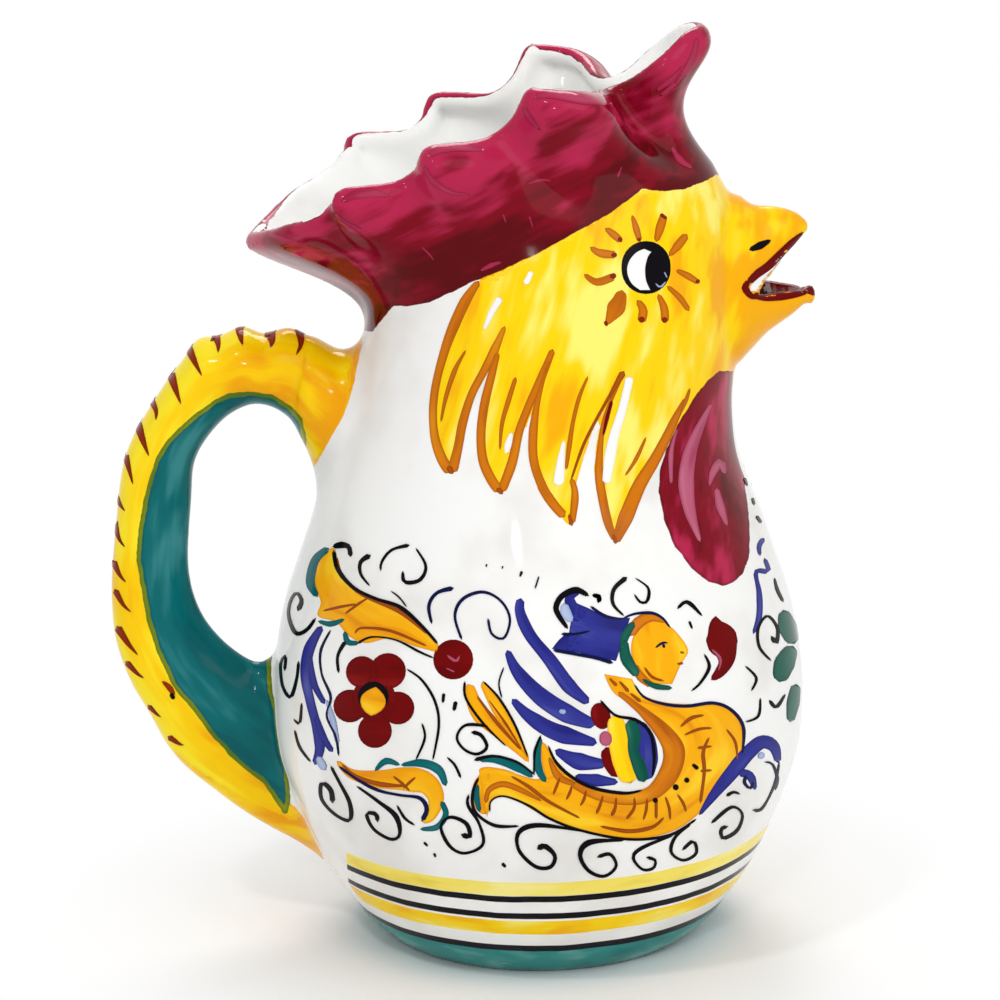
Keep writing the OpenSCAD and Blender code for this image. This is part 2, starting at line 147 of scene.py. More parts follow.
@dataclass(frozen=True)
class Vessel:
    """The thrown and modelled wall, from the foot to the comb's rim, in millimetres."""

    foot_r: float = 41.0
    belly_r: float = 72.3
    belly_z: float = 67.0
    shoulder_z: float = 104.0
    shoulder_r: float = 65.2
    wall: float = 4.6
    floor_t: float = 7.0
    brow_z: float = 212.0
    nape_z: float = 166.0
    face_reach: float = 54.5
    nape_reach: float = 45.0
    cheek_half: float = 49.0
    horn_z: float = 250.0
    horn_reach: float = 45.5
    tail_z: float = 195.0
    tail_reach: float = 75.0
    comb_half: float = 41.0
    lobe_puff: float = 7.0
    lip: float = 4.2
    swell_power: float = 2.8
    columns: int = 480
    flank: ShareCurve = ShareCurve((
        (0, 0), (0.06, 0.16), (0.15, 0.34), (0.27, 0.53), (0.42, 0.69), (0.6, 0.85),
        (0.8, 0.975), (1, 1), (1.2, 0.975)))
    shoulder: ShareCurve = ShareCurve((
        (-0.45, 0.22), (0, 0), (0.45, 0.22), (0.75, 0.56), (1, 1)))
    head: ShareCurve = ShareCurve((
        (0, 0, 0, 0), (0.12, 0.4, 0.22, 0.27), (0.27, 0.96, 0.45, 0.63), (0.4, 1.11, 0.73, 0.85),
        (0.52, 1.05, 0.91, 0.97), (0.66, 1, 1, 1.1), (0.79, 1.04, 1.02, 1.3),
        (0.92, 1.22, 1.03, 1.56), (1, 1.6, 1.04, 1.75)))
    seam: ShareCurve = ShareCurve((
        (0, 1), (0.17, 0.99), (0.33, 0.93), (0.5, 0.7), (0.67, 0.45), (0.83, 0.24), (1, 0)))
    rim: ShareCurve = ShareCurve((
        (0, 1, 0, 1, 0.91, -1.23), (0.02, 0.974, 0.12, 1, 0.9, -1.2), (0.045, 0.9, 0.22, 0.978, 0.8, -1.1),
        (0.07, 0.824, 0.305, 0.927, 0.7, -1), (0.095, 0.747, 0.34, 0.873, 0.55, -0.85),
        (0.12, 0.66, 0.33, 0.815, 0.35, -0.7), (0.15, 0.56, 0.256, 0.742, 0, -0.6),
        (0.175, 0.473, 0.232, 0.718, 0, -0.5), (0.205, 0.385, 0.366, 0.735, 0.3, -0.45),
        (0.235, 0.297, 0.61, 0.773, 0.85, -0.4), (0.27, 0.198, 0.768, 0.807, 1.3, -0.35),
        (0.31, 0.088, 0.829, 0.825, 1.5, -0.3), (0.345, -0.02, 0.837, 0.824, 1.5, -0.3),
        (0.37, -0.057, 0.837, 0.79, 1.35, -0.3), (0.385, -0.074, 0.837, 0.725, 1, -0.3),
        (0.4, -0.087, 0.837, 0.65, 0.5, -0.3), (0.42, -0.11, 0.841, 0.597, 0.15, -0.3),
        (0.46, -0.17, 0.861, 0.582, 0.45, -0.3), (0.52, -0.265, 0.902, 0.584, 1.1, -0.3),
        (0.57, -0.345, 0.934, 0.578, 1.35, -0.3), (0.595, -0.387, 0.951, 0.541, 1.2, -0.3),
        (0.61, -0.41, 0.951, 0.475, 0.85, -0.3), (0.625, -0.423, 0.951, 0.415, 0.4, -0.3),
        (0.645, -0.45, 0.963, 0.375, 0.1, -0.3), (0.69, -0.53, 0.993, 0.371, 0.5, -0.35),
        (0.74, -0.618, 1, 0.371, 1.05, -0.4), (0.775, -0.674, 0.983, 0.337, 1.05, -0.45),
        (0.797, -0.7, 0.959, 0.265, 0.65, -0.5), (0.82, -0.72, 0.927, 0.2, 0.25, -0.55),
        (0.855, -0.767, 0.878, 0.155, 0.2, -0.65), (0.89, -0.827, 0.756, 0.115, 0.5, -0.9),
        (0.93, -0.893, 0.585, 0.085, 1, -1.2), (0.965, -0.953, 0.293, 0.044, 1.4, -1.45),
        (1, -1, 0, 0, 1.61, -1.54)))

    def body_r(self, z: Array) -> Array:
        """Outer radius of the thrown body at the heights z.

        Args:
            z: Heights above the table.

        Returns:
            A radius for each height.
        """
        low = blend(self.foot_r, self.belly_r, self.flank.at(np.clip(z / self.belly_z, 0, 1), 1))
        place = np.clip((z - self.belly_z) / (self.shoulder_z - self.belly_z), 0, 1)
        high = blend(self.belly_r, self.shoulder_r, self.shoulder.at(place, 1))
        return np.where(z < self.belly_z, low, high)

    def section(self, z: Array) -> tuple[Array, Array, Array]:
        """Middle, half length and half width of the level section at the heights z.

        Args:
            z: Heights above the table.

        Returns:
            The three measures at each height.
        """
        place = np.clip((z - self.shoulder_z) / (self.brow_z - self.shoulder_z), 0, 1)
        face = blend(self.shoulder_r, self.face_reach, self.head.at(place, 1))
        nape = blend(self.shoulder_r, self.nape_reach, self.head.at(place, 2))
        cheek = blend(self.shoulder_r, self.cheek_half, self.head.at(place, 3))
        thrown = z < self.shoulder_z
        radius = self.body_r(z)
        return (np.where(thrown, 0, (face - nape) / 2), np.where(thrown, radius, (face + nape) / 2),
                np.where(thrown, radius, cheek))

    def outside(self, points: Array) -> Array:
        """How far points lie outside the wall's outer face, measured about level.

        Args:
            points: Places in millimetres.

        Returns:
            A distance for each point, negative inside.
        """
        mid, half, side = self.section(points[:, 2])
        reach = np.hypot((points[:, 0] - mid) / half, points[:, 1] / side)
        return (reach - 1) * np.minimum(half, side)

    def seam_z(self, turn: Array) -> Array:
        """Height of the seam under the comb, turn being 0 in front and 1 behind."""
        return blend(self.nape_z, self.brow_z, self.seam.at(turn, 1))

    def turn(self, points: Array) -> Array:
        """Angles of the points about the vessel's middle, seen from above."""
        return np.arctan2(points[:, 1], points[:, 0] - self.section(points[:, 2])[0])

    def seam_at(self, points: Array) -> Array:
        """Height of the seam under the comb on the points' side of the head."""
        return self.seam_z(np.abs(self.turn(points)) / math.pi)

    def rings(self, rows: tuple[int, int, int]) -> Array:
        """The wall's outer face as a grid of points.

        Args:
            rows: Rings on the body, on the head and on the comb.

        Returns:
            An array of ring by column by coordinate.
        """
        angle = np.arange(self.columns) * 2 * math.pi / self.columns
        cos, sin = np.cos(angle), np.sin(angle)
        turn = np.where(angle <= math.pi, angle / math.pi, 2 - angle / math.pi)
        rings = []
        for z in np.linspace(0, self.shoulder_z, rows[0], endpoint=False):
            radius = self.body_r(np.array([z]))[0]
            rings.append(np.stack([radius * cos, radius * sin, np.full(self.columns, z)], -1))
        seam = self.seam_z(turn)
        for share in np.linspace(0, 1, rows[1], endpoint=False):
            height = blend(self.shoulder_z, seam, share)
            mid, half, side = self.section(np.maximum(height, self.shoulder_z))
            rings.append(np.stack([mid + half * cos, side * sin, height], -1))
        mid, half, side = self.section(seam)
        base = np.stack([mid + half * cos, side * sin, seam], -1)
        reach = self.rim.at(turn, 1)
        top = np.stack([
            reach * np.where(reach > 0, self.horn_reach, self.tail_reach),
            np.sign(sin) * self.comb_half * np.maximum(0, self.rim.at(turn, 2)),
            blend(self.tail_z, self.horn_z, self.rim.at(turn, 3))], -1)
        along = unit(np.roll(top, -1, 0) - np.roll(top, 1, 0))
        down = unit(base - top)
        down = unit(down - (down * along).sum(-1, keepdims=True) * along)
        inset = top + down * self.lip / 2
        puff, waist = self.lobe_puff * self.rim.at(turn, 4), self.lobe_puff * self.rim.at(turn, 5)
        out = np.stack([cos, sin, np.zeros(self.columns)], -1)
        reached = 1 - self.lip / 2 / np.linalg.norm(top - base, axis=-1)
        for share in np.linspace(0, 1, rows[2]):
            u = share * reached
            swell = puff * np.sin(math.pi * u ** self.swell_power) + waist * np.sin(math.pi * u)
            rings.append(blend(base, inset, share) + swell[:, None] * out)
        return np.array(rings)


@dataclass(frozen=True)
class Beak:
    """The hollow beak's two halves, in millimetres."""

    mouth_z: float = 178.3
    upper_reach: float = 73.5
    lower_reach: float = 75.5
    upper_rise: float = 25.0
    lower_drop: float = 20.0
    gape: float = 18.0
    half: float = 17.0
    wall: float = 3.2
    sunk_share: float = 0.25
    throat_clear: float = 2.0
    throat_side: float = 1.5
    throat_back: float = 4.0
    rows: int = 40
    columns: int = 41
    upper: ShareCurve = ShareCurve((
        (0, 1, 1, 0), (0.15, 0.85, 0.92, 0.01), (0.3, 0.66, 0.885, 0.2), (0.5, 0.5, 0.88, 0.46),
        (0.7, 0.35, 0.855, 0.7), (0.88, 0.2, 0.81, 0.86), (1, 0.06, 0.74, 0.98)))
    lower: ShareCurve = ShareCurve((
        (0, 1, 1, 0), (0.15, 0.85, 0.85, 0), (0.35, 0.66, 0.64, 0), (0.55, 0.48, 0.5, 0),
        (0.75, 0.34, 0.36, 0.01), (0.92, 0.19, 0.2, 0.04), (1, 0.06, 0.13, 0.08)))

    def sheet(self, vessel: Vessel, upper: bool) -> Array:
        """Middle surface of one half's wall.

        Args:
            vessel: The wall that the beak grows from.
            upper: True for the upper half.

        Returns:
            An array of section by column by coordinate.
        """
        curve = self.upper if upper else self.lower
        inset = self.wall / 2
        reach = (self.upper_reach if upper else self.lower_reach) - inset
        share = np.linspace(-self.sunk_share, 1, self.rows)
        read = np.clip(share, 0, 1)
        half = np.maximum(self.half * curve.at(read, 1) - inset, inset / 4)
        if upper:
            spine = self.mouth_z + self.upper_rise * curve.at(read, 2) - inset
            edge = self.mouth_z + self.gape * curve.at(read, 3) - inset * curve.at(read, 3)
        else:
            spine = self.mouth_z - self.lower_drop * curve.at(read, 2) + inset
            edge = self.mouth_z - self.lower_drop * curve.at(read, 3) - inset
        a = np.linspace(0, math.pi, self.columns)
        x = np.repeat(blend(vessel.face_reach, reach, share)[:, None], self.columns, 1)
        y = half[:, None] * np.cos(a) * (1 if upper else -1)
        z = edge[:, None] + (spine - edge)[:, None] * np.sin(a)
        return np.stack([x, y, z], -1)

    def lower_edge(self, vessel: Vessel, x: Array) -> Array:
        """Height of the lower half's upper edge at the reaches x."""
        share = np.clip((x - vessel.face_reach) / (self.lower_reach - vessel.face_reach), 0, 1)
        return self.mouth_z - self.lower_drop * self.lower.at(share, 3)

    def throat(self, points: Array, vessel: Vessel) -> Array:
        """Signed distance, about, to the channel that the beak opens into.

        Args:
            points: Places in millimetres.
            vessel: The wall that the channel is cut through.

        Returns:
            A distance for each point, negative in the channel.
        """
        low = self.mouth_z - self.lower_drop + self.throat_clear * self.wall
        high = self.mouth_z + self.upper_rise - self.throat_clear * self.wall
        half_y = self.half - self.throat_side * self.wall
        level = np.hypot(points[:, 1] / half_y, (points[:, 2] - (low + high) / 2) / (high - low) * 2)
        back = vessel.face_reach - self.throat_back * vessel.wall
        return np.maximum((level - 1) * half_y, back - points[:, 0])


@dataclass(frozen=True)
class Handle:
    """The pulled strap, from its seat on the neck to its seat on the belly."""

    off: float = 51.0
    crest_z: float = 167.0
    strap_half: float = 12.0
    flare_half: float = 16.0
    crest_h: float = 1.8
    crest_from: float = 2.0
    crest_to: float = 6.0
    crest_bumps: int = 3
    sunk: float = 3.0
    curved_over: float = 3.0
    rows: int = 240
    sides: int = 72
    stations: tuple[tuple[float, ...], ...] = (
        (0, 0.967, 0, 0.752, 0, 0.2), (0.13, 0.97, 0.18, 0.821, 0.3, 0.15),
        (0.29, 0.995, 0.28, 0.858, 0.75, 0.1), (0.47, 0.998, 0.41, 0.882, 1, 0.1),
        (0.65, 1, 0.52, 0.885, 1, 0.1), (0.83, 0.99, 0.62, 0.866, 1, 0.15),
        (0.95, 0.953, 0.68, 0.83, 1, 0.2), (1.04, 0.891, 0.7, 0.787, 1, 0.3),
        (1.08, 0.824, 0.67, 0.732, 1, 0.4), (1.06, 0.733, 0.63, 0.673, 1, 0.45),
        (1, 0.641, 0.57, 0.614, 1, 0.5), (0.925, 0.556, 0.49, 0.564, 1, 0.5),
        (0.865, 0.489, 0.41, 0.526, 1.02, 0.5), (0.77, 0.42, 0.31, 0.492, 1.04, 0.5),
        (0.67, 0.362, 0.21, 0.467, 1.06, 0.5), (0.57, 0.287, 0.11, 0.449, 1.04, 0.5),
        (0.445, 0.235, 0.06, 0.445, 1, 0.5), (0.31, 0.186, 0.03, 0.442, 0.95, 0.5),
        (0.15, 0.143, 0.01, 0.438, 0.9, 0.5), (0, 0.111, 0, 0.434, 0.85, 0.5))

    def rings(self, vessel: Vessel) -> Array:
        """The strap's skin as rings, whose ends are sunk into the vessel's wall.

        Args:
            vessel: The wall that the strap is luted to.

        Returns:
            An array of ring by side by coordinate.
        """
        last = len(self.stations) - 1
        angle = np.arange(self.sides) * 2 * math.pi / self.sides
        across = (1 - np.cos(angle)) / 2
        rings = []
        rows = np.linspace(0, last, self.rows)
        for v, share in zip(rows, through(np.array(self.stations), rows)):
            bump = 0.0
            if self.crest_from < v < self.crest_to:
                wave = self.crest_bumps * (v - self.crest_from) / (self.crest_to - self.crest_from)
                bump = self.crest_h * (1 - math.cos(2 * math.pi * wave)) / 2
            heights = np.array([share[1] * self.crest_z + bump, share[3] * self.crest_z])
            mid, half, _ = vessel.section(heights)
            near_end = min(v, last - v)
            reaches = mid - half - np.array([share[0], share[2]]) * self.off
            reaches = reaches + self.sunk * math.exp(-near_end)
            width = self.strap_half * share[4]
            if v < self.crest_from:
                width = blend(self.flare_half, self.strap_half, min(1.0, share[4]))
            x = blend(reaches[0], reaches[1], across)
            y = width * np.sin(angle) * (1 - share[5] * across)
            z = blend(heights[0], heights[1], across)
            mid, half, side = vessel.section(z)
            curved = half - half * np.sqrt(np.clip(1 - (y / side) ** 2, 0, 1))
            rings.append(np.stack([x + curved * max(0.0, 1 - near_end / self.curved_over), y, z], -1))
        return np.array(rings)


def grid_faces(rows: int, columns: int, closed: bool) -> list[tuple[int, ...]]:
    """Quads of a grid of points, wrapped round if closed.

    Args:
        rows: Rows of points.
        columns: Points in a row.
        closed: True where a row's last point meets its first.

    Returns:
        The four corners of each quad.
    """
    span = columns if closed else columns - 1
    return [(j * columns + i, j * columns + (i + 1) % columns, (j + 1) * columns + (i + 1) % columns,
             (j + 1) * columns + i) for j in range(rows - 1) for i in range(span)]


class Sheet:
    """A surface to measure distances from, in millimetres."""

    def __init__(self, grid: Array, closed: bool, capped: bool = False) -> None:
        """Sets up the search tree.

        Args:
            grid: Points, row by column by coordinate.
            closed: True where the columns run round.
            capped: True to close the first and the last row.
        """
        rows, columns = grid.shape[:2]
        faces = grid_faces(rows, columns, closed)
        if capped:
            faces.append(tuple(reversed(range(columns))))
            faces.append(tuple(range((rows - 1) * columns, rows * columns)))
        self.tree = BVHTree.FromPolygons(grid.reshape(-1, 3).tolist(), faces)

    def distance(self, points: Array, reach: float) -> tuple[Array, Array]:
        """Distance from points to the surface.

        Args:
            points: The points to measure.
            reach: Distance past which the answers are this far.

        Returns:
            The distances, and the same measured along the faces' normals.
        """
        gaps = np.full(len(points), reach)
        lifts = np.full(len(points), reach)
        find = self.tree.find_nearest
        for i, p in enumerate(points.tolist()):
            place, normal, _, gap = find(p, reach)
            if place is not None:
                gaps[i] = gap
                lifts[i] = ((p[0] - place.x) * normal.x + (p[1] - place.y) * normal.y
                            + (p[2] - place.z) * normal.z)
        return gaps, lifts

    def facing(self, points: Array, ways: Array) -> Array:
        """How far directions at points agree with the nearest faces' normals, from -1 to 1.

        Args:
            points: Places in millimetres.
            ways: A direction at each point.

        Returns:
            A number for each point.
        """
        find = self.tree.find_nearest
        near = [find(p)[1] for p in points.tolist()]
        return (np.array([tuple(normal) for normal in near]) * ways).sum(1)

    def covers(self, points: Array) -> Array:
        """Marks points that lie inside a closed surface which each line along Y enters once.

        Args:
            points: Places in millimetres.

        Returns:
            True for each point inside.
        """
        outward = Vector((0.0, 1.0, 0.0))
        cast = self.tree.ray_cast
        return np.array([cast(p, outward if p[1] >= 0 else -outward)[0] is not None
                         for p in points.tolist()], dtype=bool)


def join(a: Array, b: Array, soft: float) -> Array:
    """Union of two distance fields with a fillet of about the size soft."""
    h = np.clip(0.5 + 0.5 * (b - a) / soft, 0, 1)
    return b + (a - b) * h - soft * h * (1 - h)


class Clay:
    """The whole pitcher as one smooth field, negative in the clay and positive in the air."""

    floor_fillet = 4.0
    floor_over = 12.0
    beak_fillet = 3.0
    handle_fillet = 8.0
    far = 60.0
    wall_rows = (76, 66, 48)
    proud_share = 0.125
    beak_pad = 10.0
    beak_sunk, beak_over = 8.0, 4.0
    root_off, root_over = 4.0, 6.0

    def __init__(self, vessel: Vessel, beak: Beak, handle: Handle) -> None:
        """Lays out the middle surfaces of the walls and the handle's skin.

        Args:
            vessel: The thrown wall.
            beak: Its beak.
            handle: Its handle.
        """
        self.vessel, self.beak, self.handle = vessel, beak, handle
        outer = vessel.rings(self.wall_rows)
        along = np.roll(outer, -1, 1) - np.roll(outer, 1, 1)
        normals = unit(np.cross(along, np.gradient(outer, axis=0)))
        self.wall = Sheet(outer - normals * vessel.wall / 2, True)
        self.upper = Sheet(beak.sheet(vessel, True), False)
        self.lower = Sheet(beak.sheet(vessel, False), False)
        strap = handle.rings(vessel)
        self.strap = Sheet(strap, True, capped=True)
        self.strap_box = (strap.reshape(-1, 3).min(0), strap.reshape(-1, 3).max(0))

    def by_strap(self, points: Array, pad: float) -> Array:
        """Marks the points that lie in the handle's box."""
        low, high = self.strap_box
        return ((points > low - pad) & (points < high + pad)).all(1)

    def by_beak(self, points: Array) -> Array:
        """Marks the points that lie round the beak and the throat.

        Args:
            points: Places in millimetres.

        Returns:
            True for each point there.
        """
        beak = self.beak
        level = np.abs(points[:, 2] - beak.mouth_z) < beak.upper_rise + self.beak_pad
        near = np.abs(points[:, 1]) < beak.half + self.beak_pad
        return (points[:, 0] > self.vessel.face_reach / 2) & level & near

    def strap_field(self, points: Array) -> Array:
        """Signed distance to the handle's skin."""
        gaps = self.strap.distance(points, self.far)[0]
        return np.where(self.strap.covers(points), -gaps, gaps)

    def field(self, points: Array, reach: float) -> Array:
        """The clay's field at the points, true up to the distance reach.

        Args:
            points: Places in millimetres.
            reach: Distance from the clay's surface up to which it is true.

        Returns:
            A number for each point, negative in the clay.
        """
        vessel, beak = self.vessel, self.beak
        result = self.wall.distance(points, reach)[0] - vessel.wall / 2
        low = points[:, 2] < vessel.floor_t + self.floor_over
        near = points[low]
        slab = np.maximum(vessel.outside(near) + vessel.wall * self.proud_share, near[:, 2] - vessel.floor_t)
        result[low] = np.maximum(join(result[low], slab, self.floor_fillet), -near[:, 2])
        front = self.by_beak(points)
        near = points[front]
        halves = np.minimum(self.upper.distance(near, reach)[0], self.lower.distance(near, reach)[0])
        wall = join(result[front], halves - beak.wall / 2, self.beak_fillet)
        cut = near[:, 0] < vessel.face_reach + beak.wall
        result[front] = np.where(cut, np.maximum(wall, -beak.throat(near, vessel)), wall)
        back = self.by_strap(points, reach)
        near = points[back]
        solid = np.maximum(self.strap_field(near), -vessel.outside(near) - vessel.wall / 2)
        result[back] = join(result[back], solid, self.handle_fillet)
        return result

    def labels(self, points: Array) -> Array:
        """Which piece of clay each point belongs to, if it is in the clay.

        Args:
            points: Places in millimetres.

        Returns:
            A piece's number for each point.
        """
        vessel, beak = self.vessel, self.beak
        x, z = points[:, 0], points[:, 2]
        seam = vessel.seam_at(points)
        proud = vessel.outside(points) > vessel.wall * self.proud_share
        label = np.full(len(points), int(Part.HEAD))
        label[z > seam] = Part.COMB
        label[z < vessel.shoulder_z] = Part.BELLY
        label[z < vessel.floor_t] = Part.FOOT
        behind = proud & (x < -vessel.nape_reach / 2) & (z > 2 * vessel.floor_t)
        root = (x < -vessel.nape_reach - self.root_off) & (z < vessel.nape_z + self.root_over)
        label[behind & ((z < seam) | root)] = Part.HANDLE
        level = np.abs(z - beak.mouth_z) < beak.upper_rise + self.beak_over
        front = proud & (x > vessel.face_reach - self.beak_sunk) & level
        label[front & (z <= beak.mouth_z)] = Part.LOWER_BEAK
        label[front & (z > beak.mouth_z) & (z < seam)] = Part.UPPER_BEAK
        return label


class Lattice:
    """Samples of the clay on a regular grid, mirrored in the plane of the beak and the handle."""

    block = 4
    margin = 4.0
    pad = 6.0
    corner_share = 0.87

    def __init__(self, clay: Clay, step: float) -> None:
        """Samples the field near the clay's surface.

        Args:
            clay: The field to sample.
            step: Distance between samples, in millimetres.
        """
        self.step = step
        low, high = np.array(CAD_BOX[0]) / MM - self.pad, np.array(CAD_BOX[1]) / MM + self.pad
        # Only the half where y is above 0 is sampled. It is mirrored below.
        low[1] = 0.0
        size = self.block * step
        blocks = np.ceil((high - low) / size).astype(int)
        centre = [low[a] + (np.arange(blocks[a]) + 0.5) * size - step / 2 for a in range(3)]
        middle = np.stack(np.meshgrid(*centre, indexing="ij"), -1).reshape(-1, 3)
        coarse = clay.field(middle, clay.far)
        near = np.abs(coarse) < size * self.corner_share + self.margin
        values = coarse.reshape(blocks)
        for axis in range(3):
            values = np.repeat(values, self.block, axis)
        starts = np.stack(np.unravel_index(np.nonzero(near)[0], blocks), -1) * self.block
        inner = np.stack(np.meshgrid(*[np.arange(self.block)] * 3, indexing="ij"), -1).reshape(-1, 3)
        cells = (starts[:, None, :] + inner[None]).reshape(-1, 3)
        values[tuple(cells.T)] = clay.field(low + cells * step, 2 * (size + self.margin))
        label = np.zeros(values.shape, dtype=np.int8)
        solid = np.stack(np.nonzero(values < 0), -1)
        label[tuple(solid.T)] = clay.labels(low + solid * step)
        self.values = np.concatenate([values[:, :0:-1], values], 1)
        self.label = np.concatenate([label[:, :0:-1], label], 1)
        self.origin = np.array([low[0], -(values.shape[1] - 1) * step, low[2]])

    def sample(self, values: Array, points: Array) -> Array:
        """Reads a grid between its samples.

        Args:
            values: One number for each sample.
            points: Places in millimetres.

        Returns:
            One number for each place.
        """
        place = (points - self.origin) / self.step
        low = np.clip(np.floor(place).astype(int), 0, np.array(values.shape) - 2)
        u = place - low
        total = np.zeros(len(points))
        for corner in range(8):
            bit = np.array([corner & 1, corner >> 1 & 1, corner >> 2 & 1])
            weight = np.prod(np.where(bit == 1, u, 1 - u), axis=1)
            total += weight * values[tuple((low + bit).T)]
        return total


@dataclass
class Skin:
    """The clay's skin as one net of vertices that all pieces share, in millimetres."""

    places: Array
    normals: Array
    outside: Array
    faces: dict[Part, Array]
    shell: Array

    pulls: int = 3
    least_slope: float = 0.5
    smoothing: int = 3
    seam_depth: float = 0.8

    @classmethod
    def cast(cls, lattice: Lattice) -> "Skin":
        """Wraps the lattice's clay, with a wall between neighbouring pieces.

        Args:
            lattice: The sampled clay.

        Returns:
            The skin, its vertices drawn onto the clay's surface.
        """
        label, values = lattice.label, lattice.values
        corners = [np.array([c & 1, c >> 1 & 1, c >> 2 & 1]) for c in range(8)]
        span = np.array(label.shape) - 1

        def shifted(grid: Array, by: Array) -> Array:
            """The grid's part that starts at by."""
            return grid[by[0]:by[0] + span[0], by[1]:by[1] + span[1], by[2]:by[2] + span[2]]

        first = shifted(label, corners[0])
        mixed = np.zeros(span, dtype=bool)
        for corner in corners[1:]:
            mixed |= shifted(label, corner) != first
        cells = np.stack(np.nonzero(mixed), -1)
        index = np.full(span, -1, dtype=np.int64)
        index[mixed] = np.arange(len(cells))
        sums = np.zeros((2, len(cells), 3))
        counts = np.zeros((2, len(cells)))
        for a in corners:
            for axis in range(3):
                if a[axis]:
                    continue
                b = a + np.eye(3, dtype=int)[axis]
                la, lb = label[tuple((cells + a).T)], label[tuple((cells + b).T)]
                va, vb = values[tuple((cells + a).T)], values[tuple((cells + b).T)]
                airy = (la == Part.AIR) != (lb == Part.AIR)
                share = np.where(airy, va / np.where(va == vb, 1, va - vb), 0.5)
                point = a + np.clip(share, 0, 1)[:, None] * (b - a)
                for kind, hit in ((0, airy), (1, (la != lb) & ~airy)):
                    sums[kind][hit] += point[hit]
                    counts[kind][hit] += 1
        outside = counts[0] > 0
        pick = np.where(outside, 0, 1)
        rows = np.arange(len(cells))
        mean = sums[pick, rows] / counts[pick, rows][:, None]
        places = lattice.origin + (cells + mean) * lattice.step
        pairs, quads = cls.quads(label, index)
        bare = (pairs != Part.AIR).all(1) & (outside[quads].sum(1) > 2)
        pairs, quads = pairs[~bare], quads[~bare]
        skin = cls(places, np.zeros_like(places), outside, {}, np.zeros((0, 4), dtype=int))
        skin.settle(lattice)
        for part in list(Part)[1:]:
            ahead, behind = pairs[:, 0] == part, pairs[:, 1] == part
            skin.faces[part] = np.concatenate([quads[ahead], quads[behind][:, ::-1]])
        ahead, behind = pairs[:, 1] == Part.AIR, pairs[:, 0] == Part.AIR
        skin.shell = np.concatenate([quads[ahead], quads[behind][:, ::-1]])
        skin.soften_normals()
        return skin

    @staticmethod
    def quads(label: Array, index: Array) -> tuple[Array, Array]:
        """Faces between samples that belong to different pieces.

        Args:
            label: The piece at each sample.
            index: The vertex in each cell.

        Returns:
            The two pieces of each face, and its four vertices, anticlockwise from the second.
        """
        pairs, quads = [], []
        for axis in range(3):
            one, two = np.eye(3, dtype=int)[(axis + 1) % 3], np.eye(3, dtype=int)[(axis + 2) % 3]
            low = label.take(range(label.shape[axis] - 1), axis)
            high = label.take(range(1, label.shape[axis]), axis)
            at = np.stack(np.nonzero(low != high), -1)
            pairs.append(np.stack([low[tuple(at.T)], high[tuple(at.T)]], -1))
            quads.append(np.stack([index[tuple((at - by).T)] for by in (0 * one, one, one + two, two)], -1))
        return np.concatenate(pairs), np.concatenate(quads)

    def settle(self, lattice: Lattice) -> None:
        """Draws the vertices onto the clay's surface and reads their normals.

        Args:
            lattice: The sampled clay.
        """
        slopes = [np.gradient(lattice.values, lattice.step, axis=axis) for axis in range(3)]
        at = self.outside
        points = self.places[at]
        for _ in range(self.pulls):
            slope = np.stack([lattice.sample(s, points) for s in slopes], -1)
            level = lattice.sample(lattice.values, points)
            steep = np.maximum(np.linalg.norm(slope, axis=1), self.least_slope)
            limit = lattice.step / 2
            points = points - np.clip(level / steep, -limit, limit)[:, None] * unit(slope)
        points[:, 2] = np.maximum(points[:, 2], 0)
        self.places[at] = points
        self.normals[at] = unit(np.stack([lattice.sample(s, points) for s in slopes], -1))
        seams = self.places[~at]
        shallow = np.maximum(lattice.sample(lattice.values, seams) + self.seam_depth, 0)
        slope = unit(np.stack([lattice.sample(s, seams) for s in slopes], -1))
        self.places[~at] = seams - shallow[:, None] * slope

    def soften_normals(self) -> None:
        """Averages the normals with their neighbours', so that the glaze reflects without facets."""
        for _ in range(self.smoothing):
            total = self.normals.copy()
            for k in range(4):
                for step in (1, 3):
                    np.add.at(total, self.shell[:, k], self.normals[self.shell[:, (k + step) % 4]] / 2)
            total[~self.outside] = 0
            self.normals = unit(total)
        self.normals[~self.outside] = 0

    def shell_tree(self) -> BVHTree:
        """Search tree of the whole outer skin."""
        return BVHTree.FromPolygons(self.places.tolist(), self.shell.tolist())


def mesh_object(name: str, places: Array, faces: Array | list, normals: Array | None) -> bpy.types.Object:
    """Makes an object from points in millimetres.

    Args:
        name: The piece's name.
        places: The points.
        faces: The points of each face.
        normals: Normals of the points, zero for those that are worked out, or None.

    Returns:
        The new object, linked to the scene.
    """
    mesh = bpy.data.meshes.new(name)
    mesh.from_pydata((places * MM).tolist(), [], faces.tolist() if isinstance(faces, np.ndarray) else faces)
    mesh.shade_smooth()
    if normals is not None:
        mesh.normals_split_custom_set_from_vertices(normals.tolist())
    made = bpy.data.objects.new(name, mesh)
    bpy.context.scene.collection.objects.link(made)
    return made


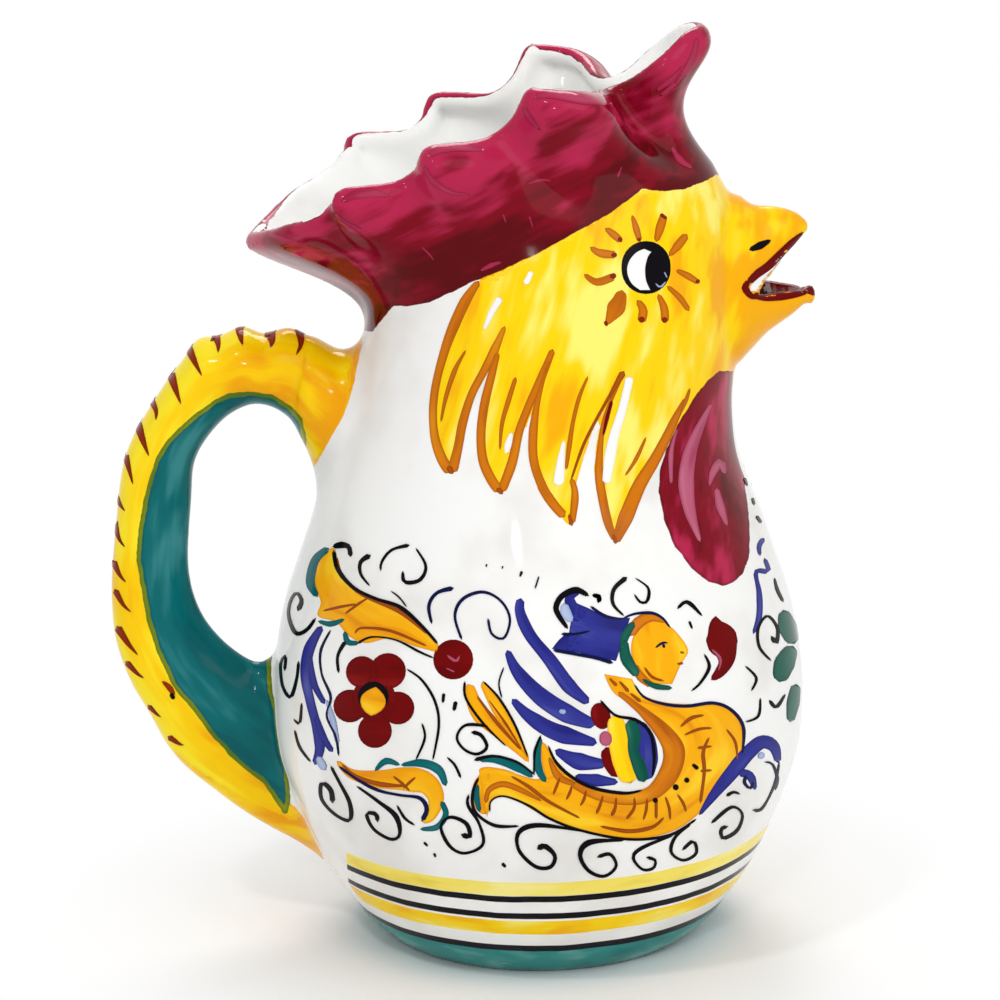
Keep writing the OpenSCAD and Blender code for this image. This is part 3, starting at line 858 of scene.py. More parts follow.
@dataclass(frozen=True)
class Viewpoint:
    """The camera that took the photograph, in millimetres, degrees and pixels."""

    place: Triple = (0.0, -1190.0, 430.0)
    target: Triple = (-9.77, 0.0, 120.14)
    roll: float = 0.8
    focal_px: float = 4534.9
    frame_px: float = 1000.0
    sensor: float = 36.0
    clip_m: float = 10.0

    @property
    def px_per_mm(self) -> float:
        """The scale of what lies at the target."""
        return self.focal_px / np.linalg.norm(np.array(self.place) - np.array(self.target))

    def axes(self) -> tuple[Array, Array, Array]:
        """The frame's right, its up and the way the camera looks.

        Returns:
            Three vectors of the length 1.
        """
        ahead = unit(np.array(self.target) - np.array(self.place))
        level = unit(np.cross(ahead, (0.0, 0.0, 1.0)))
        rise = np.cross(level, ahead)
        cos, sin = math.cos(math.radians(self.roll)), math.sin(math.radians(self.roll))
        return cos * level - sin * rise, sin * level + cos * rise, ahead

    def pixels(self, points: Array) -> Array:
        """Where points fall in the photograph.

        Args:
            points: Places in millimetres.

        Returns:
            A place in the photograph for each point.
        """
        right, rise, ahead = self.axes()
        away = points - np.array(self.place)
        depth = away @ ahead
        centre = self.frame_px / 2
        return np.stack([centre + self.focal_px * (away @ right) / depth,
                         centre - self.focal_px * (away @ rise) / depth], -1)

    def rays(self, pixels: Array) -> Array:
        """Directions from the camera through pixels of the photograph.

        Args:
            pixels: Places in the photograph.

        Returns:
            A vector of the length 1 for each pixel.
        """
        right, rise, ahead = self.axes()
        off = (pixels - self.frame_px / 2) / self.focal_px
        return unit(ahead + off[:, :1] * right - off[:, 1:] * rise)

    def build(self) -> bpy.types.Object:
        """Sets the scene's camera.

        Returns:
            The camera.
        """
        data = bpy.data.cameras.new("camera")
        data.sensor_fit = "HORIZONTAL"
        data.sensor_width = self.sensor
        data.lens = self.focal_px * self.sensor / self.frame_px
        data.clip_end = self.clip_m
        camera = bpy.data.objects.new("camera", data)
        right, rise, ahead = self.axes()
        turn = Matrix((right, rise, -ahead)).transposed().to_4x4()
        camera.matrix_world = Matrix.Translation(Vector(self.place) * MM) @ turn
        bpy.context.scene.collection.objects.link(camera)
        bpy.context.scene.camera = camera
        return camera


def photo_path(text: str) -> Array:
    """Reads places in the photograph's pixels, written as x,y pairs."""
    return np.array([[float(value) for value in pair.split(",")] for pair in text.split()])


def resample(points: Array, count: int, fineness: int = 16) -> Array:
    """Places count points on a smooth curve through the given ones, evenly along it.

    Args:
        points: The places to pass.
        count: How many places to give.
        fineness: Steps of the curve between two of the given places.

    Returns:
        The new places.
    """
    last = len(points) - 1
    if last == 1:
        return points[0] + np.linspace(0, 1, count)[:, None] * (points[1] - points[0])
    fine = through(points, np.linspace(0, last, fineness * last + 1))
    run = lengths_along(fine)
    at = np.linspace(0, run[-1], count)
    return np.stack([np.interp(at, run, fine[:, k]) for k in range(fine.shape[1])], -1)


def rows_along(length: float, step: float, least: int = 7) -> int:
    """How many rows of points a mark of this length takes."""
    return max(least, int(length / step) + 2)


class Outline:
    """A closed outline in the photograph's pixels."""

    def __init__(self, path: str) -> None:
        """Reads the corners from text."""
        self.corners = photo_path(path)

    def inset(self, pixels: Array) -> Array:
        """How far places lie inside the outline, in pixels, negative outside it.

        Args:
            pixels: Places in the photograph.

        Returns:
            A distance for each place.
        """
        gap = np.full(len(pixels), np.inf)
        inside = np.zeros(len(pixels), dtype=bool)
        x, y = pixels[:, 0], pixels[:, 1]
        for a, b in zip(self.corners, np.roll(self.corners, -1, 0)):
            edge = b - a
            share = np.clip(((x - a[0]) * edge[0] + (y - a[1]) * edge[1]) / (edge @ edge), 0, 1)
            gap = np.minimum(gap, np.hypot(x - a[0] - share * edge[0], y - a[1] - share * edge[1]))
            if a[1] != b[1]:
                crosses = (a[1] > y) != (b[1] > y)
                inside ^= crosses & (x < a[0] + (y - a[1]) * edge[0] / edge[1])
        return np.where(inside, gap, -gap)


@dataclass(frozen=True)
class Stroke:
    """One pull of the brush: its path in the photograph's pixels and its widths along it.

    The widths are read as for the broad brush, and brush is the share of them that is left.
    """

    path: str
    widths: str
    brush: float = 1.0

    fineness = 4
    least_round = 0.5
    dab = 3.0

    def rails(self, step: float) -> tuple[Array, Array, Array]:
        """Both edges of the stroke, rounded at its ends.

        Args:
            step: Distance between the points, in pixels.

        Returns:
            The left edge, the right edge and the distance from the nearer end.
        """
        points = photo_path(self.path)
        widths = np.array([float(value) for value in self.widths.split()])
        count = rows_along(lengths_along(points)[-1], step)
        middle = resample(points, self.fineness * count)
        place = np.linspace(0, 1, len(middle))
        half = np.interp(place, np.linspace(0, 1, len(widths)), widths) * self.brush / 2
        run = lengths_along(middle)
        ends = np.minimum(run, run[-1] - run)
        arc = np.clip(1 - (1 - ends / np.maximum(half, self.least_round)) ** 2, 0, 1)
        half = half * np.sqrt(np.where(ends < half, arc, 1.0))
        ahead = unit(np.gradient(middle, axis=0))
        side = np.stack([-ahead[:, 1], ahead[:, 0]], -1)
        # A short, broad dab takes most of its points at its round ends.
        ends_first = np.cos(np.linspace(math.pi, 0, count)) / 2 + 0.5
        spread = ends_first if run[-1] < self.dab * half.max() else np.linspace(0, 1, count)
        pick = np.interp(spread, place, np.arange(len(middle))).round().astype(int)
        return (middle + side * half[:, None])[pick], (middle - side * half[:, None])[pick], ends[pick]


@dataclass(frozen=True)
class Panel:
    """A painted area between two edges, in the photograph's pixels."""

    left: str
    right: str

    def rails(self, step: float) -> tuple[Array, Array, Array]:
        """Both edges as equal counts of points, and the distance from the nearer end.

        Args:
            step: Distance between the points, in pixels.

        Returns:
            The left edge, the right edge and the distances.
        """
        left, right = photo_path(self.left), photo_path(self.right)
        count = rows_along(max(lengths_along(left)[-1], lengths_along(right)[-1]), step)
        left, right = resample(left, count), resample(right, count)
        run = np.arange(count) * step
        return left, right, np.minimum(run, run[-1] - run)


def disc(x: float, y: float, radius: float) -> Stroke:
    """A round dab of the brush."""
    return Stroke(f"{x - radius},{y} {x + radius},{y}", f"{2 * radius}")


def series(name: str, *marks: tuple[str, str]) -> dict[str, tuple[str, str]]:
    """Strokes that repeat, numbered from 1."""
    return {f"{name} {count}": mark for count, mark in enumerate(marks, 1)}


class Pigment(Enum):
    """The painter's colours, as shown in the photograph: body, light and pooled."""

    YELLOW = ((254, 212, 6), (254, 242, 118), (246, 158, 2))
    GOLD = ((248, 174, 4), (254, 208, 40), (220, 120, 2))
    HONEY = ((252, 204, 6), (254, 232, 40), (240, 146, 2))
    OLIVE = ((118, 132, 14), (176, 170, 20), (60, 104, 40))
    STRAW = ((250, 230, 104), (254, 244, 156), (226, 196, 62))
    AMBER = ((208, 116, 4), (234, 156, 18), (148, 64, 2))
    BROWN = ((176, 84, 6), (206, 120, 14), (116, 44, 2))
    # On the comb its light tone also stands for painted light on the upper lobes, and its pooled tone for
    # painted shade at the seam.
    MAROON = ((126, 0, 26), (186, 38, 80), (72, 0, 0))
    BLUSH = ((186, 92, 120), (206, 130, 150), (150, 44, 78))
    # Used for the comb's painted highlights and its few brush flecks.
    ROSE = ((172, 44, 82), (190, 84, 116), (142, 14, 50))
    CRIMSON = ((112, 2, 4), (150, 24, 26), (80, 0, 0))
    RUST = ((146, 42, 6), (184, 82, 8), (104, 20, 2))
    TEAL = ((6, 104, 108), (74, 154, 158), (2, 72, 78))
    SEA = ((48, 134, 130), (110, 172, 166), (14, 104, 104))
    GREEN = ((18, 92, 76), (70, 138, 104), (4, 58, 50))
    BLUE = ((48, 52, 142), (88, 96, 176), (20, 20, 98))
    MIST = ((176, 190, 222), (220, 226, 240), (120, 136, 190))
    NAVY = ((16, 24, 76), (44, 54, 112), (8, 10, 42))
    INK = ((12, 8, 16), (34, 28, 42), (4, 2, 6))
    MILK = ((246, 246, 244), (250, 250, 250), (232, 230, 226))

    @property
    def slot(self) -> str:
        """The record's material slot for marks of this pigment.

        Returns:
            The slot's name.
        """
        if self in (Pigment.YELLOW, Pigment.GOLD, Pigment.HONEY, Pigment.OLIVE, Pigment.STRAW,
                    Pigment.AMBER, Pigment.BROWN):
            return "yellow_glaze"
        if self in (Pigment.MAROON, Pigment.ROSE, Pigment.BLUSH, Pigment.CRIMSON, Pigment.RUST):
            return "maroon_glaze"
        return "teal_glaze" if self in (Pigment.TEAL, Pigment.SEA, Pigment.GREEN) else "white_glaze"

    def shade(self, index: int) -> tuple[float, float, float, float]:
        """One of the three colours as linear light: 0 body, 1 light, 2 pooled."""
        return (*(((v / 255 + 0.055) / 1.055) ** 2.4 for v in self.value[index]), 1.0)


class Wiring:
    """Adds nodes to a node tree and joins them."""

    def __init__(self, tree: bpy.types.NodeTree) -> None:
        """Keeps the tree."""
        self.tree = tree

    def join(self, value: object, socket: Socket) -> None:
        """Links a socket, or sets a plain value.

        Args:
            value: A socket or a plain value.
            socket: The input that takes it.
        """
        if isinstance(value, Socket):
            self.tree.links.new(value, socket)
        else:
            socket.default_value = value

    def add(self, kind: str, inputs: dict | None = None, **settings: object) -> bpy.types.Node:
        """Adds a node with the given settings and inputs.

        Args:
            kind: The node's type, without ShaderNode.
            inputs: Sockets or plain values for its inputs.
            settings: Its settings.

        Returns:
            The node.
        """
        node = self.tree.nodes.new("ShaderNode" + kind)
        for name, value in settings.items():
            setattr(node, name, value)
        for name, value in (inputs or {}).items():
            self.join(value, node.inputs[name])
        return node

    def sum(self, operation: str, *values: object) -> Socket:
        """A math node's result."""
        return self.add("Math", dict(enumerate(values)), operation=operation).outputs[0]

    def step(self, value: object, low: object, high: object) -> Socket:
        """Rises smoothly from 0 at low to 1 at high."""
        inputs = {"Value": value, "From Min": low, "From Max": high}
        return self.add("MapRange", inputs, interpolation_type="SMOOTHSTEP").outputs["Result"]

    def mix(self, share: object, a: object, b: object) -> Socket:
        """A colour between a and b."""
        # Inputs 6 and 7 and output 2 are the node's colours.
        return self.add("Mix", {0: share, 6: a, 7: b}, data_type="RGBA").outputs[2]

    def noise(self, place: object, stretch: Triple, detail: float) -> Socket:
        """Smooth noise about 0.5 at a stretched place."""
        scaled = self.add("VectorMath", {0: place, 1: stretch}, operation="MULTIPLY").outputs[0]
        return self.add("TexNoise", {"Vector": scaled, "Scale": 1.0, "Detail": detail}).outputs[0]

    def attribute(self, name: str, vector: bool = False) -> Socket:
        """A value that the mesh carries."""
        return self.add("Attribute", attribute_name=name).outputs["Vector" if vector else "Fac"]

    def place(self) -> Socket:
        """The place on the object in millimetres."""
        point = self.add("TexCoord").outputs["Object"]
        return self.add("VectorMath", {0: point, 1: (1 / MM,) * 3}, operation="MULTIPLY").outputs[0]

    def group(self, tree: bpy.types.NodeTree, inputs: dict) -> bpy.types.Node:
        """Adds a group with the given inputs."""
        return self.add("Group", inputs, node_tree=tree)


def group_tree(name: str, inputs: dict[str, str], outputs: dict[str, str]) -> tuple[
        Wiring, bpy.types.NodeGroupInput, bpy.types.NodeGroupOutput]:
    """Makes an empty node group.

    Args:
        name: The group's name.
        inputs: Its inputs' names and kinds.
        outputs: Its outputs' names and kinds.

    Returns:
        Its wiring, its input node and its output node.
    """
    tree = bpy.data.node_groups.new(name, "ShaderNodeTree")
    for sockets, way in ((inputs, "INPUT"), (outputs, "OUTPUT")):
        for label, kind in sockets.items():
            tree.interface.new_socket(label, in_out=way, socket_type="NodeSocket" + kind)
    return Wiring(tree), tree.nodes.new("NodeGroupInput"), tree.nodes.new("NodeGroupOutput")


class GlazeEffects:
    """Node groups that the painted pieces share. Grains say how noise is stretched, per millimetre."""

    fine_grain, fine_detail, fine_share = (0.045, 0.6, 0.3), 3.0, 0.35
    broad_grain, broad_detail, broad_share = (0.035, 0.11, 0.1), 2.0, 1.7
    relief_share = 0.4
    thinned_and_lit = (1.04, 1.4)
    pooled, pooled_share = (1.02, 0.7), 0.8
    rim, rim_share = (0.9, 0.0), 0.55
    border_grain, border_shake, border_soft = (0.35,) * 3, 0.8, (-0.12, 0.12)
    wheel_grain, wheel_shake, wheel_soft = (0.07, 0.07, 0.02), 0.9, (-0.1, 0.1)
    worn_grain, worn = (0.12, 0.12, 1.2), (0.08, 0.3)
    cloud_grain, cloud_detail, cloud = (0.035,) * 3, 3.0, (0.42, 0.72)
    wave_grain, peel_grain, peel_share = (0.06,) * 3, (0.45,) * 3, 0.06
    gloss_grain, gloss_share, least_rough = (0.12,) * 3, 0.08, 0.05
    plain_detail, smooth_detail = 2.0, 1.0

    def __init__(self) -> None:
        """Builds the groups."""
        self.brushed = self.brushed_pigment()
        self.region = self.painted_region()
        self.band = self.turned_band()
        self.ground = self.tin_ground()
        self.fired = self.fired_surface()

    def shaken(self, wires: Wiring, place: Socket, grain: Triple, shake: float) -> Socket:
        """The small wanderings of a border drawn by hand."""
        return wires.sum("MULTIPLY_ADD", wires.noise(place, grain, self.plain_detail), shake, -shake / 2)

    def brushed_pigment(self) -> bpy.types.NodeTree:
        """Pigment that thins and pools along the brush's way.

        Returns:
            The group's node tree.
        """
        wires, given, out = group_tree(
            "Brushed Pigment",
            {"Body": "Color", "Light": "Color", "Pooled": "Color", "Grain": "Vector", "Inset": "Float",
             "Streaks": "Float", "Relief": "Float"}, {"Color": "Color"})
        grain, streaks, relief = (given.outputs[name] for name in ("Grain", "Streaks", "Relief"))
        fine = wires.noise(grain, self.fine_grain, self.fine_detail)
        broad = wires.noise(grain, self.broad_grain, self.broad_detail)
        laid = wires.sum("MULTIPLY", fine, self.fine_share)
        laid = wires.sum("MULTIPLY_ADD", broad, self.broad_share, laid)
        # Relief moves the mix towards the light or the pooled tone. On the comb it is painted shade towards
        # the seam and painted light towards the rim, over paint that pools and thins.
        laid = wires.sum("MULTIPLY_ADD", relief, self.relief_share, laid)
        thinned_and_lit = wires.sum("MULTIPLY", wires.step(laid, *self.thinned_and_lit), streaks)
        color = wires.mix(thinned_and_lit, given.outputs["Body"], given.outputs["Light"])
        low = wires.step(laid, *self.pooled)
        edge = wires.sum("MULTIPLY", wires.step(given.outputs["Inset"], *self.rim), self.rim_share)
        share = wires.sum("MULTIPLY", low, wires.sum("MULTIPLY", streaks, self.pooled_share))
        deep = wires.sum("MAXIMUM", share, edge)
        wires.join(wires.mix(deep, color, given.outputs["Pooled"]), out.inputs["Color"])
        return wires.tree

    def painted_region(self) -> bpy.types.NodeTree:
        """Paint laid over a ground up to a border drawn by hand.

        Returns:
            The group's node tree.
        """
        wires, given, out = group_tree(
            "Painted Region", {"Ground": "Color", "Paint": "Color", "Inset": "Float", "Place": "Vector"},
            {"Color": "Color"})
        shake = self.shaken(wires, given.outputs["Place"], self.border_grain, self.border_shake)
        cover = wires.step(wires.sum("ADD", given.outputs["Inset"], shake), *self.border_soft)
        wires.join(wires.mix(cover, given.outputs["Ground"], given.outputs["Paint"]), out.inputs["Color"])
        return wires.tree

    def turned_band(self) -> bpy.types.NodeTree:
        """A band drawn with the pitcher turning on the wheel.

        Returns:
            The group's node tree.
        """
        wires, given, out = group_tree(
            "Turned Band", {"Ground": "Color", "Paint": "Color", "Low": "Float", "High": "Float",
                            "Place": "Vector", "Outer": "Float"}, {"Color": "Color"})
        place = given.outputs["Place"]
        shake = self.shaken(wires, place, self.wheel_grain, self.wheel_shake)
        height = wires.sum("ADD", wires.add("SeparateXYZ", {0: place}).outputs[2], shake)
        above = wires.step(wires.sum("SUBTRACT", height, given.outputs["Low"]), *self.wheel_soft)
        below = wires.step(wires.sum("SUBTRACT", given.outputs["High"], height), *self.wheel_soft)
        worn = wires.step(wires.noise(place, self.worn_grain, self.plain_detail), *self.worn)
        outer = wires.step(given.outputs["Outer"], *self.wheel_soft)
        cover = wires.sum("MULTIPLY", wires.sum("MULTIPLY", above, below), outer)
        cover = wires.sum("MULTIPLY", cover, worn)
        wires.join(wires.mix(cover, given.outputs["Ground"], given.outputs["Paint"]), out.inputs["Color"])
        return wires.tree

    def tin_ground(self) -> bpy.types.NodeTree:
        """White tin glaze with faint clouds where it lies thicker.

        Returns:
            The group's node tree.
        """
        wires, given, out = group_tree("Tin Ground", {"White": "Color", "Cloud": "Color", "Place": "Vector"},
                                       {"Color": "Color"})
        noise = wires.noise(given.outputs["Place"], self.cloud_grain, self.cloud_detail)
        cloud = wires.step(noise, *self.cloud)
        wires.join(wires.mix(cloud, given.outputs["White"], given.outputs["Cloud"]), out.inputs["Color"])
        return wires.tree

    def fired_surface(self) -> bpy.types.NodeTree:
        """Slow waves in the fired glaze and small changes of its gloss.

        Returns:
            The group's node tree.
        """
        wires, given, out = group_tree("Fired Surface", {"Place": "Vector"},
                                       {"Height": "Float", "Roughness": "Float"})
        place = given.outputs["Place"]
        waves = wires.noise(place, self.wave_grain, self.smooth_detail)
        peel = wires.noise(place, self.peel_grain, self.smooth_detail)
        wires.join(wires.sum("MULTIPLY_ADD", peel, self.peel_share, waves), out.inputs["Height"])
        gloss = wires.noise(place, self.gloss_grain, self.plain_detail)
        wires.join(wires.sum("MULTIPLY_ADD", gloss, self.gloss_share, self.least_rough),
                   out.inputs["Roughness"])
        return wires.tree


@dataclass(frozen=True)
class GlazeFinish:
    """The clear gloss over everything that is painted."""

    specular: float = 0.09
    dark_specular: float = 0.05
    dark_below: int = 160
    wave_mm: float = 0.35
    bump: float = 0.5

    def surface(self, name: str, effects: GlazeEffects) -> tuple[bpy.types.Material, Wiring, object]:
        """Starts a material whose colour is still open.

        Args:
            name: The material's name.
            effects: The node groups that the pieces share.

        Returns:
            The material, its wiring and the place in millimetres.
        """
        material = bpy.data.materials.new(name)
        material.use_nodes = True
        wires = Wiring(material.node_tree)
        shader = material.node_tree.nodes[SHADER]
        place = wires.place()
        fired = wires.group(effects.fired, {"Place": place})
        bump = wires.add("Bump", {"Height": fired.outputs["Height"], "Strength": self.bump,
                                  "Distance": self.wave_mm * MM})
        wires.join(bump.outputs["Normal"], shader.inputs["Normal"])
        wires.join(fired.outputs["Roughness"], shader.inputs["Roughness"])
        shader.inputs["Specular IOR Level"].default_value = self.specular
        return material, wires, place

    def brushed(self, wires: Wiring, effects: GlazeEffects, pigment: Pigment, inset: object,
                streaks: float, relief: object = 0.0) -> Socket:
        """The colour of one pigment, brushed along the mesh's grain.

        Args:
            wires: The material's wiring.
            effects: The node groups that the pieces share.
            pigment: What is brushed on.
            inset: How far the place lies from the paint's edge.
            streaks: How strongly the brush shows.
            relief: How thin the paint lies.

        Returns:
            The colour's socket.
        """
        return wires.group(effects.brushed, {
            "Body": pigment.shade(0), "Light": pigment.shade(1), "Pooled": pigment.shade(2),
            "Grain": wires.attribute("grain", vector=True), "Inset": inset, "Streaks": streaks,
            "Relief": relief}).outputs[0]

    def mark(self, pigment: Pigment, effects: GlazeEffects, streaks: float) -> bpy.types.Material:
        """The finish of brush marks in one pigment.

        Args:
            pigment: What is brushed on.
            effects: The node groups that the pieces share.
            streaks: How strongly the brush shows.

        Returns:
            The material.
        """
        material, wires, _ = self.surface("brushed_" + pigment.name.lower(), effects)
        color = self.brushed(wires, effects, pigment, wires.attribute("inset"), streaks)
        shader = material.node_tree.nodes[SHADER]
        wires.join(color, shader.inputs["Base Color"])
        if max(pigment.value[0]) < self.dark_below:
            shader.inputs["Specular IOR Level"].default_value = self.dark_specular
        return material


@dataclass(frozen=True)
class Coat:
    """Marks of one pigment that are laid in one go. Most are given as a path and its widths."""

    pigment: Pigment
    layer: int
    marks: dict[str, tuple[str, str] | Stroke | Panel]
    streaks: float = 0.7
    brush: float = 1.0

    def drawn(self) -> list[Stroke | Panel]:
        """The marks, each path pulled with the coat's brush."""
        return [Stroke(*mark, self.brush) if isinstance(mark, tuple) else mark
                for mark in self.marks.values()]


@dataclass(frozen=True)
class Regions:
    """Borders of the large painted areas, in the photograph's pixels."""

    face: Outline = Outline(
        "500,235 478,285 460,304 444,345 434,375 429,410 434,446 449,474 457,467 461,434 467,411 480,384 "
        "498,345 491,375 482,410 478,455 487,478 499,495 508,490 515,462 522,434 538,398 551,352 541,385 "
        "532,430 530,455 538,490 558,515 571,526 577,480 591,434 607,398 621,368 604,405 597,440 594,470 "
        "600,508 616,543 641,492 664,451 682,424 700,404 730,388 760,372 900,366 900,60 600,60")
    comb: Outline = Outline(
        "780,172 716,175 704,182 684,189 667,191 642,189 633,196 609,214 588,226 555,244 526,259 500,271 "
        "470,283 431,302 412,306 393,306 388,312 380,322 372,332 300,320 200,250 200,-60 780,-60")
    wattle: Outline = Outline(
        "719,371 740,371 744,393 746,429 744,457 745,486 748,511 750,535 749,557 743,574 733,583 723,586 "
        "709,582 692,569 674,545 664,519 659,493 660,470 666,450 678,424 695,396 709,379")
    handle: Outline = Outline(
        "40,290 368,290 363,340 359,357 356,373 351,394 342,418 328,443 312,471 306,478 299,480 293,500 "
        "285,560 262,655 250,700 286,800 296,808 310,825 318,843 324,860 300,900 40,900")
    lining: Outline = Outline(
        "285,812 282,806 265,781 240,762 216,737 195,709 175,685 160,653 149,618 143,583 139,558 141,530 "
        "146,502 151,481 158,460 168,443 181,429 198,415 216,402 230,396 251,394 272,397 289,408 300,420 "
        "304,439 304,460 301,478 290,520 280,580 268,664 270,692 279,723 285,759 288,800")


@dataclass(frozen=True)
class Band:
    """A band that runs all round, between two heights in millimetres."""

    pigment: Pigment
    low: float
    high: float


@dataclass(frozen=True)
class Decoration:
    """Brush marks that belong together."""

    name: str
    coats: tuple[Coat, ...]


FEATHERS = Decoration("feather", (
    Coat(Pigment.AMBER, 1, {
        "first feather, left": (
            "479,281 466,300 453,328 444,353 436,384 433,412 435,438 442,459 451,473",
            "6 11 11 9 8 8 8 10 11"),
        "first feather, right": (
            "452,473 458,448 463,422 472,394 484,371 494,351 505,326", "11 9 9 8 8 9 4"),
        "second feather, left": (
            "498,352 490,381 484,407 481,435 483,460 491,479 500,492", "5 8 9 9 9 10 10"),
        "second feather, right": (
            "501,492 512,463 519,432 527,410 537,387 545,369 553,349", "9 10 9 8 8 8 6"),
        "third feather, left": (
            "550,360 542,384 536,410 533,436 534,462 543,488 554,505 565,517", "3 4 6 9 9 9 10 9"),
        "third feather, right": ("572,524 575,494 571,478", "6 8 5"),
        "fourth feather, left": (
            "622,376 615,392 608,408 603,426 600,449 599,474 603,501 609,526 616,541", "3 3 4 5 7 9 9 9 6"),
        "fourth feather, right": (
            "615,543 626,517 639,486 654,461 666,438 676,417 686,398", "8 15 14 12 10 8 4")}),
    Coat(Pigment.AMBER, 2, {
        "first quill": ("466,350 455,370 446,397 441,422", "2 5 4 2"),
        "second quill": ("516,377 509,399 502,424 500,450", "4 5 4 2"),
        "third quill": ("588,376 579,398 573,422 569,448 566,470", "2 4 4 5 3"),
        "fourth quill": ("646,437 636,459 625,476", "2 4 2"),
        "barb at the wattle": ("690,388 686,400 680,414", "2 4 2")}),
    Coat(Pigment.BROWN, 2, {
        "third feather's edge": ("571,480 583,446 596,420 609,397 624,371", "2 3 3 3 7"),
        "dark tip of the first": ("448,466 453,474", "6 5"),
        "dark tip of the second": ("497,488 503,494", "6 4"),
        "dark tip of the third": ("569,514 572,526", "3 5"),
        "dark tip of the fourth": ("613,534 616,544", "3 4")}),
    # The gaps are white glaze left unpainted. The gleam beside the comb and the light on the first feather
    # are painted highlights.
    Coat(Pigment.MILK, 2, {
        "gap in the fourth": ("630,376 622,410 614,436 609,462 606,484", "8 8 9 11 8"),
        "gap in the third": ("564,440 561,460 558,486", "3 8 11"),
        "gap in the second": ("512,432 507,450 510,452", "3 7 5"),
        "gleam beside the comb": ("532,271 525,285", "5 6"),
        "light on the first": ("501,297 492,312 484,330", "7 6 3")}, 0.2),
    Coat(Pigment.MAROON, 3, {"line in the gap": ("612,400 607,418 603,436", "3 4 2")})))

EYE = Decoration("eye", (
    Coat(Pigment.AMBER, 1, {
        "lash above, left": ("632,215 636,228 640,242", "3 7 5"),
        "lash above, right": ("664,215 660,228 656,242", "8 9 5"),
        "lash at the upper right": ("687,234 680,243 669,256", "7 9 4"),
        "lash at the right": ("676,270 688,276 699,283", "4 7 5"),
        "lash at the lower right": ("667,286 680,298 689,311", "4 6 5"),
        "lash below, right": ("658,294 664,308 665,323", "4 8 8"),
        "lash below": ("637,300 643,310 641,323", "5 9 9"),
        "broad lash": ("622,290 618,304 606,325", "9 19 3"),
        "lash at the left": ("584,274 597,282 615,276", "4 8 8"),
        "lash at the upper left": ("590,247 600,253 617,255", "4 9 7"),
        "lash above the left": ("605,228 613,234 622,242", "4 8 6")}),
    Coat(Pigment.RUST, 2, {
        "end of the left lash": ("610,277 616,275", "5 6"),
        "end of the upper left lash": ("611,255 617,255", "4 5"),
        "end of the lash above it": ("618,238 622,241", "4 5"),
        "end of the lash below": ("640,317 643,322", "7 6"),
        "end of its neighbour": ("664,317 665,323", "6 5"),
        "end of the right lash": ("696,280 699,283", "5 5"),
        "end of the broad lash": ("605,321 607,326", "4 3"),
        "end of the lash above": ("638,238 640,241", "4 4"),
        "top of the upper lash": ("660,214 667,219", "4 3")}, 0.3),
    Coat(Pigment.INK, 1, {
        "eyeball": ("646,241 646,294", "49"), "nostril": ("749,250 759,246 771,240", "4 8 3")}, 0.2),
    Coat(Pigment.MILK, 2, {
        "white of the eye": Panel(
            "644,249 637,252 631,258 628,264 627,271 629,279 633,285 640,290",
            "651,252 648,256 646,262 645,268 645,275 646,281 648,286 650,290")}, 0.0),
    Coat(Pigment.MIST, 4, {
        "glint low in the pupil": ("655,283 660,287 666,281", "1 2 1"),
        "glint beside it": ("664,272 667,278", "1.5 1")}, 0.2)))

WATTLE_LIGHTS = Decoration("wattle", (
    Coat(Pigment.BLUSH, 1, {
        "long light": ("711,404 701,424 690,452 686,482 690,512 700,542", "3 9 14 16 11 3"),
        "arched light": ("709,486 713,472 720,463 725,474", "2 7 9 4"),
        "short light": ("716,488 720,506 727,526", "5 9 3"),
        "left light": ("677,428 671,452 671,484", "2 5 3")}, 1.0),))

# Painted highlights where light from above falls on the lobes' tops, the horn and the brow, with a few brush
# flecks.
COMB_HIGHLIGHTS = Decoration("comb", (
    Coat(Pigment.ROSE, 1, {
        "light on the horn": ("697,38 692,60 678,82 660,96", "4 8 9 3"),
        "light along the horn's back": ("684,66 672,79 656,91", "3 6 3"),
        "light on the brow": ("671,146 680,160 692,168", "2 7 3"),
        "light over the third lobe": ("534,97 556,94 582,99 612,104", "5 12 10 3"),
        "light round the third lobe": ("523,106 530,119 540,130", "4 7 3"),
        "light over the second lobe": ("428,156 444,148 462,147 484,150", "5 10 9 3"),
        "light under the second lobe": ("424,166 432,180 450,192 470,195", "4 7 5 2"),
        "light on the first lobe": ("341,202 354,195 372,193 390,196", "5 10 9 3"),
        "light under the first lobe": ("335,212 344,223 362,229", "3 6 2"),
        "light on the tail": ("266,232 280,238 298,242", "4 6 2"),
        "fleck between the lobes": ("527,184 542,180 552,181", "1 3 1"),
        "fleck over the nape": ("421,246 431,256 434,261", "1 2 1"),
        "second fleck": ("503,214 506,223", "2 1"), "third fleck": ("529,216 533,228", "2 1"),
        "fleck under the brow": ("622,166 617,178", "1 3"),
        "fleck at the seam": ("480,271 492,265 502,262", "2 5 2")}, 1.0),))

